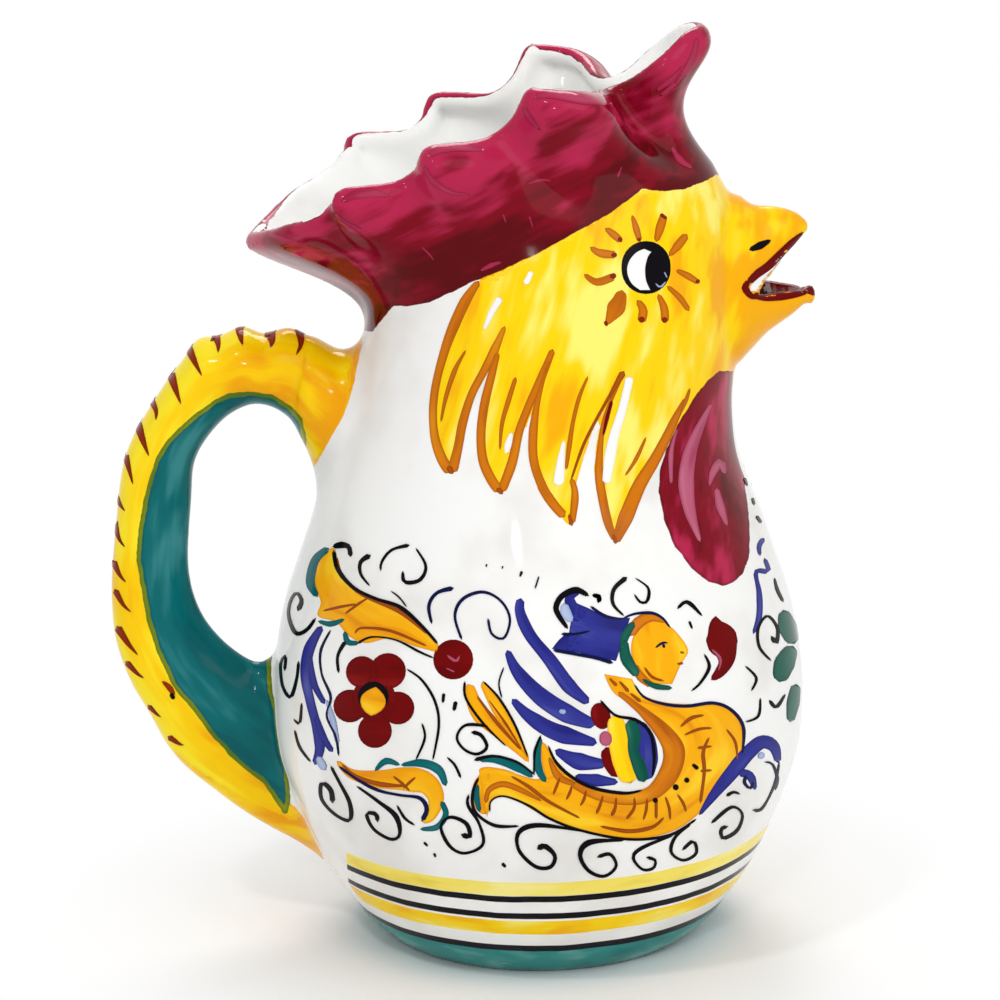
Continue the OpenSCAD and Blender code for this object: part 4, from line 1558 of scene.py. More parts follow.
HANDLE_TICKS = Decoration("handle", (
    Coat(Pigment.RUST, 6, {
        **series(
            "tick", ("298,326 301,343 296,355", "9 6 1"), ("268,327 272,341 270,348", "15 9 1"),
            ("239,326 241,339 243,346", "10 6 1"), ("213,328 218,343 218,353", "12 7 1"),
            ("186,342 194,360 202,376", "10 6 1"), ("170,371 176,390 181,404", "10 6 1"),
            ("149,396 156,410 156,420", "8 5 1"), ("137,421 143,440 149,456", "9 6 1"),
            ("125,453 130,472 133,484", "7 4 1"), ("114,492 120,504 125,511", "7 4 1"),
            ("114,519 119,538 125,547", "7 4 1"), ("113,560 120,575 126,582", "7 4 1"),
            ("115,589 123,604 131,612", "6 4 1"), ("117,626 128,643 138,655", "8 5 1"),
            ("126,661 137,673 144,678", "6 4 1"), ("148,705 157,714 161,717", "5 3 1"),
            ("168,736 180,744 184,745", "6 4 1")),
        "stain": ("162,681 170,688 174,696", "2 6 4")}, 0.5),
    Coat(Pigment.INK, 7, {"fleck in the stain": ("171,693 174,699", "5 4")}, 0.2)))

LEAVES = Decoration("leaf", (
    Coat(Pigment.GOLD, 1, {
        "upper leaf": Panel(
            "439,646 422,627 400,607 374,597 353,586 341,570 335,548",
            "436,652 414,646 391,638 366,643 349,636 336,622 318,616 321,602 315,585 317,564 331,548"),
        "lower leaf": (
            "337,761 352,774 378,779 405,779 426,783 436,798 431,816 421,821", "4 10 16 21 25 20 13 6"),
        "bud's left leaf": ("468,684 479,712 506,736 529,762", "10 18 15 3"),
        "bud's right leaf": ("482,682 495,703 515,734 529,760", "6 14 10 2")}, 0.9),
    Coat(Pigment.INK, 2, {"shade round the flower's eye": disc(373.5, 697, 15.5)}, 0.2),
    Coat(Pigment.GOLD, 3, {"flower's eye": ("361,698 372,701 386,703", "20 30 20")}, 1.0),
    Coat(Pigment.BROWN, 2, {
        "upper leaf's vein": ("323,611 340,607 357,604", "2 3 2"),
        "upper leaf's second vein": ("345,614 360,603 372,596", "2 3 1"),
        "upper leaf's low vein": ("355,634 362,628 391,631 427,646", "2 3 3 2"),
        "upper leaf's top shade": ("336,556 342,575 362,594 400,612 428,634", "3 4 4 4 3"),
        "lower leaf's shade": ("342,764 356,776 380,784 408,786", "2 4 5 2"),
        "lower leaf's cross": ("393,776 402,783 410,791", "2 3 2"),
        "lower leaf's other cross": ("416,777 410,782 403,789", "2 3 2"),
        "bud's vein": ("477,696 494,719 521,750", "2 4 2"),
        "bud's second vein": ("489,700 506,724 522,750", "1 3 1"),
        "mark in the flower": ("370,692 371,700 375,710", "1 3 1"),
        "second mark in the flower": ("377,698 377,706", "2 1")}, 0.4),
    Coat(Pigment.TEAL, 3, {
        "upper leaf's edge": ("329,548 317,558 312,571 311,585 318,597", "6 8 9 9 5"),
        "left lobe's edge": ("318,621 331,624 345,619", "3 6 3"),
        "low lobe's edge": ("345,631 348,642 359,643", "4 6 4"),
        "lower leaf's first scallop": ("375,771 386,761 400,765", "3 7 3"),
        "lower leaf's second scallop": ("401,765 422,763 439,770 446,786", "3 8 9 5"),
        "lower leaf's third scallop": ("441,801 446,814 437,827 420,829", "5 6 6 3")}),
    Coat(Pigment.CRIMSON, 1, {
        "petal above, left": disc(362, 672, 16.0), "petal above, right": disc(388, 671, 18.0),
        "petal at the right": disc(398, 708, 16.5), "petal below": disc(375, 731, 17.0),
        "petal at the left": disc(350, 706, 16.5), "middle of the flower": disc(374, 699, 22.0),
        "berry": disc(453.3, 659.5, 20.0)}, 0.6),
    Coat(Pigment.BLUSH, 2, {
        "berry's bloom": ("447,655 456,661 460,655", "2 3 2"),
        "berry's lower bloom": ("446,668 455,672", "1 2")}, 0.5)))

BEAST = Decoration("beast", (
    Coat(Pigment.GOLD, 1, {
        "body and tail": Panel(
            "632,679 642,694 664,702 691,704 713,703 731,710 742,727 743,750 732,772 714,797 696,816 "
            "673,831 640,838 595,834 550,819 517,801 500,797 491,801 489,810 487,817",
            "604,674 614,693 636,707 656,722 668,742 667,763 652,784 629,792 606,791 585,783 566,773 "
            "550,777 535,779 520,775 507,770 497,768 489,767 485,767 481,768 479,770"),
        "end of the tail": ("489,773 481,786 479,803 486,814", "12 16 13 5"),
        "fin": ("542,742 549,763 558,785", "4 15 20"),
        "cheek": Panel(
            "641,622 632,640 632,657 640,673 655,684", "664,621 677,633 688,650 681,664 672,684")}, 0.9),
    Coat(Pigment.AMBER, 3, {
        "shade inside the body": (
            "618,692 644,713 664,733 674,752 668,775 650,794 625,799 596,794 572,783",
            "5 8 15 22 20 14 12 11 8"),
        "shade on the fin": ("549,757 558,776 575,784", "3 8 5"),
        "shade on the tail": ("486,803 489,790 503,784 521,790 542,801", "4 6 6 5 2"),
        "hair over the brow": ("630,636 638,623 652,617 666,622", "9 12 9 4"),
        "beard": ("634,664 640,676 652,686", "6 9 6")}, 1.0),
    Coat(Pigment.BROWN, 4, {
        **series(
            "rib", ("560,777 557,785 553,795", "2 3 2"), ("572,785 570,792 566,800", "2 3 2"),
            ("586,790 584,799 580,806", "2 3 2"), ("603,795 600,805 596,814", "2 3 3"),
            ("616,797 615,808 611,816", "2 3 4"), ("634,797 634,808 626,819", "2 3 3"),
            ("647,798 646,810 643,820", "2 3 2"), ("656,798 656,819", "3 3"),
            ("665,796 669,808 670,820", "2 3 2"), ("677,794 683,803 686,812", "2 3 2")),
        **series(
            "breast rib", ("680,727 691,718 704,715", "2 4 2"), ("684,735 699,729 712,728", "2 3 2"),
            ("697,748 712,746", "3 2"), ("700,771 712,770", "3 2")),
        "breast crease": ("709,737 703,752 704,772 700,803", "2 4 3 3"),
        "breast's edge": ("726,729 735,742 737,760", "2 3 1"),
        "belly line": ("664,817 652,827 628,831 600,826", "2 4 4 2"),
        "tail's upper line": ("511,776 528,786 548,801 580,818", "2 4 3 2"),
        **series(
            "neck feather", ("609,678 617,686", "2 4"), ("619,681 629,692", "2 4"),
            ("630,693 641,702", "2 4")),
        "lip": ("677,664 683,663", "2 3"), "nostril": ("680,652 684,653", "2 2"),
        "jaw": ("644,667 652,677 664,681", "2 3 2")}, 0.4),
    Coat(Pigment.BLUE, 2, {
        "first wing feather": ("521,598 520,612 530,635 550,660 569,686 589,703", "8 12 12 14 15 8"),
        "second wing feather": ("507,650 517,671 539,695 566,713 595,725", "6 14 18 19 10"),
        "third wing feather": ("512,699 529,716 556,732 597,743", "6 15 18 7"),
        "fourth wing feather": ("555,750 578,761 606,764", "6 18 8"),
        "fifth wing feather": ("575,776 595,780 618,782", "5 13 5"),
        "shoulder's blue": ("637,722 645,738 648,757 646,780", "12 19 20 12"),
        "cap": Panel("630,618 606,616 588,608 574,602", "616,661 598,657 580,653 566,651"),
        "cap's lower point": Panel("567,633 562,637 557,642 552,649", "586,630 582,640 578,648 574,652"),
        "cap's curl": ("584,620 573,609 570,597 580,591", "18 14 10 5"),
        "right leaf": ("699,815 714,794 732,772 748,753 762,742 774,747 778,763", "3 9 13 15 14 13 6"),
        "right leaf's spur": ("738,772 750,776 755,790", "8 9 4"),
        "left frond": ("322,626 309,650 306,677 311,704 317,727 320,748 315,765", "6 11 11 9 9 11 7"),
        "left frond's branch": ("310,655 314,683 325,704", "4 7 5"),
        "left frond's lower branch": ("316,716 324,738 333,752", "5 7 5"),
        "squiggle under the wattle": ("764,558 768,571 756,572 759,593 759,616 753,634", "4 5 4 6 6 3"),
        "squiggle beside it": ("764,538 759,546 760,556", "5 5 3")}, 0.8),
    Coat(Pigment.CRIMSON, 3, {
        "shoulder's red": ("597,703 601,717 604,729", "16 20 14"),
        "shoulder's lower red": ("606,747 611,762 617,777", "14 17 10"),
        "drop": (
            "715.5,616 716,624 720,634 723,645 726,655 725,664 719,673 711,680",
            "2 18 31 30 20 13 10 4")}, 0.5),
    Coat(Pigment.BLUSH, 5, {
        "drop's light": ("711,649 720,659 718,671", "2 3 1"),
        "shoulder's plum": ("605,731 606,746", "12 13")}, 0.5),
    Coat(Pigment.YELLOW, 4, {"shoulder's yellow": ("614,715 619,738 624,760 631,783", "14 23 24 20")}, 0.5),
    Coat(Pigment.GREEN, 5, {
        "shoulder's green": ("629,720 634,736 633,751 639,766 644,782", "12 14 10 14 11"),
        "trefoil's top leaf": ("783,610 787,626 794,644", "10 19 12"),
        "trefoil's middle leaf": ("793,646 784,664 779,682", "12 21 14"),
        "trefoil's stem": ("796,684 793,702 790,722", "9 13 7"),
        "hair over the ear": ("634,622 625,636 622,650", "6 9 6"),
        "hair behind the cheek": ("624,640 626,658 638,676", "8 12 8"),
        "fold under the chin": ("642,679 655,686 672,688", "3 6 4")}, 0.8),
    Coat(Pigment.TEAL, 5, {
        "fin's edge": ("541,737 537,753 539,770 546,782", "4 8 8 5"),
        "tail's upper leaf": ("479,760 496,759 516,766 533,777", "4 9 10 4"),
        "tail's lower edge": ("478,784 477,798 480,812", "3 6 4")}, 0.8),
    Coat(Pigment.MIST, 5, {
        "light in the cap": ("564,603 566,613 572,622", "7 11 6"),
        "light in the right leaf": ("759,753 763,758", "8 7"),
        "light on the feather": ("559,711 566,712", "4 5"),
        "light in the frond": ("318,756 322,764 326,770", "5 8 6"),
        "light beside the frond": ("327,700 333,720 338,744", "3 6 4")}, 0.3)))

# Share of the broad brush's width that the liner leaves.
LINER = 0.84
LINES = Decoration("line", (
    Coat(Pigment.NAVY, 6, {
        "breast's outline": (
            "634,684 644,697 664,704 687,706 713,703 731,710 743,727 742,754", "2 3 4 4 4 4 4 2"),
        "high tendril": ("454,588 437,593 429,606 432,624", "6 4 4 3"),
        "long tendril": (
            "462,640 455,616 463,599 483,592 501,601 510,619 504,638 492,634 488,618", "3 3 4 4 3 3 3 3 3"),
        "lower leaf's under-edge": (
            "339,766 357,779 378,790 400,795 420,798 427,809 422,821", "3 3 4 3 3 5 6"),
        "cap's outline": ("622,619 605,616 590,606", "2 4 3"),
        "hair's outline": Stroke("622,619 634,614 651,613 662,618 670,628", "1.7 2.5 3.4 2.5 1.7"),
        "cap's crease": ("561,634 575,634 590,631", "4 3 2"),
        "cap's lower edge": ("553,650 575,654 596,658 613,663", "4 4 4 5"),
        "eye of the beast": ("655,648 662,643 668,643", "2 3 2"),
        "pupil of the beast": ("663,644 664,648", "3 3"),
        "right leaf's edge": ("764,762 772,764 777,778 775,790", "2 3 4 2"),
        "right leaf's curl": ("747,774 744,782 750,788 754,780", "3 4 3 2"),
        "frond's outline": (
            "331,630 321,651 322,674 331,697 327,716 336,736 339,756", "2 3 2 3 2 3 2")}, 0.3, LINER),
    Coat(Pigment.INK, 7, {
        "upper leaf's curl": ("333,547 342,545 349,547 351,557", "5 8 5 5"),
        "upper leaf's back": ("334,550 338,569 353,587 374,598 400,607 422,626 438,644", "4 5 4 4 5 4 3"),
        "upper leaf's under-line": ("357,644 372,637 396,640 420,652 434,658", "3 2 2 3 2"),
        "scroll beside the upper leaf": (
            "298,611 302,601 297,593 291,601 289,616 296,633 307,630 316,618", "6 4 3 3 4 5 4 3"),
        "scroll beside the frond": (
            "285,671 286,656 281,664 283,686 291,697 297,679 299,661", "3 3 3 3 4 3 3"),
        "hook beside the frond": ("302,703 300,723 294,719", "2 3 2"),
        "line beside the frond": ("295,730 300,747 311,762", "2 3 2"),
        "scroll under the frond": (
            "333,803 331,790 322,783 322,799 335,814 350,820 350,803 339,781 331,766", "6 5 4 3 3 5 4 3 3"),
        "scroll under the lower leaf": (
            "378,822 376,814 367,814 374,829 391,839 400,834 396,816 378,801 357,786", "5 4 3 3 4 6 4 3 2"),
        "scroll between leaf and tail": (
            "461,834 470,836 466,823 450,817 441,827 450,846 465,853 483,844 479,823 468,805 469,794",
            "6 5 4 3 4 3 3 4 3 4 3"),
        "line over the flower": ("346,641 338,656 339,673", "5 3 3"),
        "arc round the flower": ("407,669 422,680 435,701 439,725 433,760", "2 3 3 3 2"),
        "short arc beside it": ("422,723 425,738 416,760", "2 3 2"),
        "first dash": ("444,693 443,703", "4 3"), "second dash": ("456,701 454,711", "5 4"),
        "comma": ("447,757 455,765 461,778", "2 3 3"),
        "top curl, left": ("371,555 361,562 361,574 370,586", "7 4 3 2"),
        "top curl, middle": ("410,545 392,550 382,562 381,571", "5 3 3 2"),
        "top curl, right": ("416,548 426,566 420,580 405,582 403,571", "2 3 4 5 3"),
        "hair line": ("391,591 399,597 407,607", "1.43 2 1.43"),
        "line under the lower leaf": ("397,805 405,818 415,825", "2 3 2"),
        "dash low down": ("424,842 428,846", "3 2"), "dot low down": ("434,853 436,857", "3 2"),
        "dot over the scrolls": ("502,863 506,867", "4 3"),
        **series(
            "dash", ("487,564 486,567", "2 1.43"), ("503,566 502,569", "2 1.43"), ("522,571 520,577", "4 2"),
            ("539,576 535,589", "2 2")),
        "arc over the cap": ("627,577 614,589 613,604 624,616", "6 5 4 2"),
        "curl over the cap": ("635,578 648,588 647,601 640,602 634,594", "1.43 2 4 3 2"),
        "brow mark": ("677,609 687,602 702,616", "3 5 2"), "tick at the brow": ("689,621 692,629", "3 2"),
        "breath": ("704,654 709,667 700,683 691,691", "2 4 3 2"),
        "cap's curl outline": ("568,629 559,616 556,607 562,596 576,590 589,596", "4 6 7 7 8 4"),
        "cap's hook": ("592,595 599,597 598,603", "4 6 5"), "thin arc": ("504,667 499,683 502,698", "2 2 2"),
        "scroll beside the bud": (
            "471,732 481,735 487,747 477,754 464,749 457,737 466,725 488,726", "5 4 4 3 3 3 4 3"),
        "bud's left outline": ("465,681 466,698 483,723 506,746", "3 3 3 1.43"),
        "bud's right outline": ("483,681 499,698 515,725 528,757", "2 3 3 2"),
        "shoulder's outline": ("600,700 615,715 636,720 650,733 654,756 652,777", "3 3 4 4 4 2"),
        "inner outline": ("548,745 556,762 572,777 594,788 624,793 642,790", "2 4 4 4 4 2"),
        "fin's outline": ("541,735 535,752 534,775", "3 3 2"),
        "tail's top outline": ("474,760 494,756 517,762 535,775", "5 3 3 2"),
        "tail's left outline": ("479,777 473,792 475,811 494,825 519,826", "3 4 3 4 2"),
        "tail's inner line": (
            "490,812 491,801 504,796 528,805 551,819 584,831 629,839 669,835 696,819", "2 2 3 3 3 3 3 3 2"),
        "dash on the body": ("692,764 698,769", "4 5"), "dot on the body": disc(686.5, 780, 2.6),
        "second dot on the body": disc(675.5, 787, 3.0), "third dot on the body": disc(655, 800, 2.6),
        "first foot scroll": (
            "537,849 545,846 555,856 550,867 535,866 519,850 519,832 539,825 584,831", "7 5 4 4 4 6 5 3 2"),
        "second foot scroll": (
            "597,857 610,854 616,866 604,876 588,870 580,854 590,842 624,840", "4 4 3 4 5 7 4 2"),
        "third foot scroll": ("646,857 655,860 653,868 642,869 633,857 643,847 673,835", "4 3 3 4 4 3 2"),
        "fourth foot scroll": ("682,850 693,841 696,853 683,860 671,852 675,837 691,823", "3 4 3 3 4 3 3"),
        "scroll under the right leaf": (
            "728,826 721,829 723,838 737,830 742,814 731,807 711,823", "4 4 4 3 3 4 3"),
        "line under the right leaf": ("726,796 733,792 740,794", "4 3 3"),
        "outer arc": ("779,762 774,785 762,808 752,810", "2 3 2 4"),
        "arc right of the drop": ("745,666 756,678 751,691", "2 3 2"),
        "arc over the right leaf": ("760,698 758,716 745,722", "2 3 2"),
        "scroll by the trefoil": (
            "771,636 776,643 777,628 767,616 758,628 759,647 771,661", "5 4 3 3 3 3 2"),
        "hook by the trefoil": ("769,700 776,707 785,694", "4 4 2"),
        "mark over the trefoil": ("774,578 777,590 783,602", "2 4 3"),
        "neck mark": ("744,478 747,486", "3 2"), "second neck mark": ("752,498 754,505", "3 3"),
        "third neck mark": ("756,516 761,523", "4 3")}, 0.3, LINER)))

MOUTH = Decoration("mouth", (
    Coat(Pigment.MILK, 2, {
        "gap at the corner": Panel(
            "750,286 757,278 765,271 773,264 781,256", "750,291 757,291 763,291 768,289 784,260")}, 0.2),
    Coat(Pigment.CRIMSON, 5, {
        "upper lip": ("803,232 792,242 779,255 768,266 757,274 748,283", "2 6 7 8 8 6"),
        "corner": ("749,280 745,288 751,296 758,297", "4 7 6 4"),
        "lower lip": ("752,295 763,296.5 780,295.5 797,293.5 808,291", "5 9.5 10 8 5")}, 0.5)))


class Painter:
    """Lays brush marks on the skin, where the photograph shows them, and mirrors them."""

    step_px = 3.2
    across_px = 4.5
    lift_mm = 0.05
    layer_mm = 0.025
    sunk_mm = 0.1
    leap_mm = 16.0
    least_columns = 3
    tries = 30
    spread_mm2 = 0.02
    end_px = 0.5
    apart_px = 7.3

    def __init__(self, skin: Skin, view: Viewpoint, effects: GlazeEffects) -> None:
        """Prepares the skin for rays from the camera.

        Args:
            skin: The clay's skin.
            view: The photograph's camera.
            effects: The node groups that the pieces share.
        """
        self.skin, self.view, self.effects = skin, view, effects
        self.tree = skin.shell_tree()
        self.finish = GlazeFinish()
        self.materials: dict[tuple[Pigment, float], bpy.types.Material] = {}

    def land(self, pixels: Array) -> tuple[Array, Array]:
        """Finds where pixels fall on the skin.

        Args:
            pixels: Places in the photograph.

        Returns:
            The points and the skin's normals there. A pixel beside the pitcher is moved inwards.
        """
        eye = Vector(self.view.place)
        rays = self.view.rays(pixels)
        points, normals = np.zeros((len(pixels), 3)), np.zeros((len(pixels), 3))
        middle = pixels.mean(0)
        for i, ray in enumerate(rays.tolist()):
            place, _, face, _ = self.tree.ray_cast(eye, Vector(ray))
            for share in np.linspace(0, 1, self.tries)[1:]:
                if place is not None:
                    break
                moved = blend(pixels[i], middle, share)[None]
                place, _, face, _ = self.tree.ray_cast(eye, Vector(self.view.rays(moved)[0]))
            if place is None:
                continue
            corners = self.skin.shell[face]
            points[i] = place
            gaps = ((self.skin.places[corners] - points[i]) ** 2).sum(1) + self.spread_mm2
            normals[i] = (self.skin.normals[corners] / gaps[:, None]).sum(0)
        return points, unit(normals)

    def close(self, points: Array, a: int, b: int) -> bool:
        """Whether two neighbours in a mark landed on the same slope of the clay."""
        return np.linalg.norm(points[a] - points[b]) < self.leap_mm

    def patch(self, mark: Stroke | Panel, lift: float, seed: int) -> tuple[Array, Array, Array, list, Array]:
        """One mark as a thin closed sheet.

        Args:
            mark: The brush mark.
            lift: How far it stands off the clay, in millimetres.
            seed: Its number in its coat, which sets its streaks apart.

        Returns:
            Its points, normals, insets, faces and grain.
        """
        left, right, ends = mark.rails(self.step_px)
        widths = np.linalg.norm(left - right, axis=1)
        columns = max(self.least_columns, int(widths.max() / self.across_px) + 2)
        share = np.linspace(0, 1, columns)
        pixels = left[:, None] + share[None, :, None] * (right - left)[:, None]
        points, normals = self.land(pixels.reshape(-1, 2))
        count = len(points)
        side = np.minimum(share, 1 - share)[None] * widths[:, None]
        inset = np.minimum(side, ends[:, None] + self.end_px).reshape(-1)
        run = lengths_along((left + right) / 2)[:, None]
        grain = np.stack(np.broadcast_arrays(run, (share[None] - 0.5) * widths[:, None],
                                             seed * self.apart_px), -1).reshape(-1, 3)
        top = [face[::-1] for face in grid_faces(len(left), columns, False)
               if all(self.close(points, face[k], face[k - 1]) for k in range(4))]
        low = [tuple(count + corner for corner in face[::-1]) for face in top]
        index = np.arange(count).reshape(-1, columns)
        rim = np.concatenate([index[:, 0], index[-1, 1:], index[-2::-1, -1], index[0, -2:0:-1]]).tolist()
        rim_faces = [(a, b, count + b, count + a) for a, b in zip(rim, rim[1:] + rim[:1])
                     if self.close(points, a, b)]
        both = np.concatenate([points + normals * lift, points - normals * self.sunk_mm])
        faces = top + low + rim_faces
        central = top[len(top) // 2]
        a, b, d = (both[central[k]] for k in (0, 1, 3))
        if np.cross(b - a, d - a) @ normals[central[0]] < 0:
            faces = [face[::-1] for face in faces]
        inset, grain = (values / self.view.px_per_mm for values in (inset, grain))
        return both, np.tile(normals, (2, 1)), np.tile(inset, 2), faces, np.tile(grain, (2, 1))

    def material(self, coat: Coat) -> bpy.types.Material:
        """The finish of a coat, made once.

        Args:
            coat: The coat that wears it.

        Returns:
            The material.
        """
        key = (coat.pigment, coat.streaks)
        if key not in self.materials:
            self.materials[key] = self.finish.mark(coat.pigment, self.effects, coat.streaks)
        return self.materials[key]

    def apply(self, decoration: Decoration) -> None:
        """Paints a decoration on both sides.

        Args:
            decoration: The marks to paint.
        """
        for coat in decoration.coats:
            parts, start = [], 0
            for seed, mark in enumerate(coat.drawn()):
                points, normals, inset, faces, grain = self.patch(
                    mark, self.lift_mm + self.layer_mm * coat.layer, seed)
                for flip in (1.0, -1.0):
                    turn = np.array([1.0, flip, 1.0])
                    wound = faces if flip > 0 else [face[::-1] for face in faces]
                    parts.append((points * turn, normals * turn, inset, grain,
                                  [tuple(start + corner for corner in face) for face in wound]))
                    start += len(points)
            places, normals, inset, grain = (np.concatenate([part[k] for part in parts]) for k in range(4))
            name = f"{decoration.name}_{coat.pigment.name.lower()}_{coat.layer}"
            piece = mesh_object(name, places, [face for part in parts for face in part[4]], normals)
            carry(piece, "inset", inset)
            carry(piece, "grain", grain)
            piece.data.materials.append(self.material(coat))
            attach(piece, BODY)
            log.info("%s: %d marks, %d faces", name, len(coat.marks), len(piece.data.polygons))


def carry(piece: bpy.types.Object, name: str, values: Array) -> None:
    """Stores values at a piece's vertices for its finish.

    Args:
        piece: The object.
        name: The attribute's name.
        values: A number or a vector for each vertex.
    """
    vector = values.ndim == 2
    layer = piece.data.attributes.new(name, "FLOAT_VECTOR" if vector else "FLOAT", "POINT")
    layer.data.foreach_set("vector" if vector else "value", values.astype(np.float32).ravel())


@dataclass(frozen=True)
class GlazedClay:
    """The seven pieces of clay under their painted glaze."""

    vessel: Vessel = Vessel()
    beak: Beak = Beak()
    handle: Handle = Handle()
    regions: Regions = Regions()
    bands: tuple[Band, ...] = (
        Band(Pigment.STRAW, 28.8, 33.2), Band(Pigment.INK, 26.7, 28.7), Band(Pigment.INK, 21.1, 23.1),
        Band(Pigment.YELLOW, 15.6, 20.4), Band(Pigment.SEA, -2.0, 10.0), Band(Pigment.INK, 9.2, 11.3))
    band_inset: float = 1.25
    band_streaks: float = 0.8
    paints: tuple[tuple[Pigment, str, float], ...] = (
        (Pigment.YELLOW, "yellow", 0.9), (Pigment.HONEY, "gold", 0.9), (Pigment.OLIVE, "teal", 0.9),
        (Pigment.TEAL, "teal", 0.6), (Pigment.MAROON, "maroon", 0.9), (Pigment.CRIMSON, "crimson", 0.6))
    step: float = 1.25
    quick_step: float = 2.0
    lean: float = 0.3
    wattle_gap: float = 8.0
    tail_from: float = -60.0
    tail_tip: float = -75.0
    tip_from: float = 71.0
    tip_depth: float = 1.0
    band_gap: float = 28.0
    band_from: float = -52.0
    band_low: float = 14.0
    mouth_from: float = 57.0
    rim_upright: float = 0.15
    rim_aside: float = 0.6
    rim_depth: float = 0.4
    sole_depth: float = 5.0
    sole_near: float = 6.0
    band_clear: float = 3.0
    bleed: float = 0.7
    drawn_back: float = 0.5
    root_x: float = -78.0
    root_run: float = 16.0
    comb_rise: float = 30.0
    strap_to: float = -35.0
    strap_near: float = 4.0
    pale_spots: tuple[Triple, ...] = ((16.0, 177.0, 12.0), (44.0, 209.0, 10.0))
    orange_from: float = 42.0
    orange_run: float = 22.0
    orange_most: float = 0.8
    root_thin: tuple[float, float] = (-0.4, 0.5)
    comb_way: Triple = (0.9, 0.0, 0.43)
    face_way: Triple = (-0.3, 0.0, -0.95)

    def shape(self) -> tuple[Clay, Skin]:
        """Models the clay and its skin.

        Returns:
            The clay and its skin.
        """
        clay = Clay(self.vessel, self.beak, self.handle)
        lattice = Lattice(clay, self.step)
        log.info("sampled %s", lattice.values.shape)
        skin = Skin.cast(lattice)
        log.info("cast %d vertices, %d faces", len(skin.places), len(skin.shell))
        return clay, skin

    def insets(self, clay: Clay, skin: Skin, view: Viewpoint) -> dict[str, Array]:
        """How far each vertex lies inside each painted area, in millimetres.

        Args:
            clay: The modelled clay.
            skin: Its skin.
            view: The photograph's camera, through which the borders are drawn.

        Returns:
            One array for each area.
        """
        places, ways, wall = skin.places, skin.normals, self.vessel.wall
        pixels = view.pixels(places * (1, 0, 1) - np.abs(places) * (0, 1, 0))
        drawn = {name: border.inset(pixels) / view.px_per_mm for name, border in vars(self.regions).items()}
        outer = self.outer(clay, places, ways)
        strap = np.full(len(places), clay.far)
        by = clay.by_strap(places, self.sole_near)
        strap[by] = clay.strap.distance(places[by], clay.far)[0]
        sole = self.sole_depth - strap
        comb = np.minimum(drawn["comb"], outer)
        wattle = np.minimum(np.minimum(drawn["wattle"], outer), np.abs(places[:, 1]) - self.wattle_gap)
        clear = np.minimum(np.abs(places[:, 1]) - self.band_gap, places[:, 0] - self.band_from)
        behind = np.where((places[:, 0] < 0) & (places[:, 2] > self.band_low), clear, wall)
        return {"yellow": np.minimum(drawn["face"], outer), "maroon": np.maximum(comb, wattle),
                "gold": np.minimum(np.minimum(drawn["handle"], sole), outer),
                "teal": np.minimum(drawn["lining"], sole), "crimson": self.mouth(clay, places, ways),
                "outer": np.minimum(np.minimum(outer, strap - self.band_clear), behind),
                **self.reliefs(places)}

    def outer(self, clay: Clay, places: Array, ways: Array) -> Array:
        """How far the places lie on the wall's outer face, negative inside the vessel.

        Args:
            clay: The modelled clay.
            places: The skin's vertices.
            ways: Their normals.

        Returns:
            A distance for each place.
        """
        wall = self.vessel.wall
        gaps, lifts = clay.wall.distance(places, 2 * wall)
        turned = np.maximum(lifts / np.maximum(gaps, wall / 4), clay.wall.facing(places, ways))
        aside = np.where(places[:, 0] < self.tail_from, -ways[:, 0], -1.0)
        sideways = ways[:, 1] * np.sign(places[:, 1])
        aside = np.maximum(aside, np.where(np.abs(places[:, 1]) > wall, sideways, -1.0))
        aside = np.maximum(aside, self.tail_tip - places[:, 0])
        turned = np.maximum(turned, np.where(places[:, 2] > self.vessel.nape_z, aside - self.lean, -1.0))
        hidden = (places[:, 2] < self.vessel.nape_z) & (self.vessel.outside(places) < -wall / 2)
        return np.where(hidden, -wall, turned * wall / 2)

    def mouth(self, clay: Clay, places: Array, ways: Array) -> Array:
        """How far the places lie inside the beak or on the lower half's edge.

        Args:
            clay: The modelled clay.
            places: The skin's vertices.
            ways: Their normals.

        Returns:
            A distance for each place, negative elsewhere.
        """
        front = places[:, 0] > self.vessel.face_reach - self.vessel.wall
        gaps, dots = (np.full((2, len(places)), clay.far) for _ in range(2))
        for half, sheet in enumerate((clay.upper, clay.lower)):
            gaps[half, front], dots[half, front] = sheet.distance(places[front], clay.far)
        reach = gaps.min(0)
        upper = gaps[0] < gaps[1]
        turned = np.where(upper, *dots) / reach
        level = places[:, 2] - self.beak.lower_edge(self.vessel, places[:, 0])
        upright = np.maximum(ways[:, 2] - self.rim_upright, np.abs(ways[:, 1]) - self.rim_aside)
        rim = np.minimum(level + self.rim_depth, upright * self.beak.wall)
        rim = np.where(upper, -self.vessel.wall, rim)
        inner = np.maximum(-turned * self.beak.wall / 2, rim)
        inner = np.where(places[:, 0] > self.tip_from, np.minimum(inner, level + self.tip_depth), inner)
        inner = np.minimum(inner, places[:, 0] - self.mouth_from)
        return np.where(reach < self.beak.wall, inner, -self.vessel.wall)

    def reliefs(self, places: Array) -> dict[str, Array]:
        """How thin the colours lie, from -1 where they pool to 1 where wiped thin; on the comb also painted
        shade and light.

        Args:
            places: The skin's vertices.

        Returns:
            One array for each finish that uses it.
        """
        seam = self.vessel.seam_at(places)
        share = np.clip((places[:, 2] - seam) / self.comb_rise, 0, 1)
        face = -np.clip((places[:, 0] - self.orange_from) / self.orange_run, 0, self.orange_most)
        for x, z, radius in self.pale_spots:
            face += np.exp(-((places[:, 0] - x) ** 2 + (places[:, 2] - z) ** 2) / radius ** 2)
        strap = np.clip((self.root_x - places[:, 0]) / self.root_run, *self.root_thin)
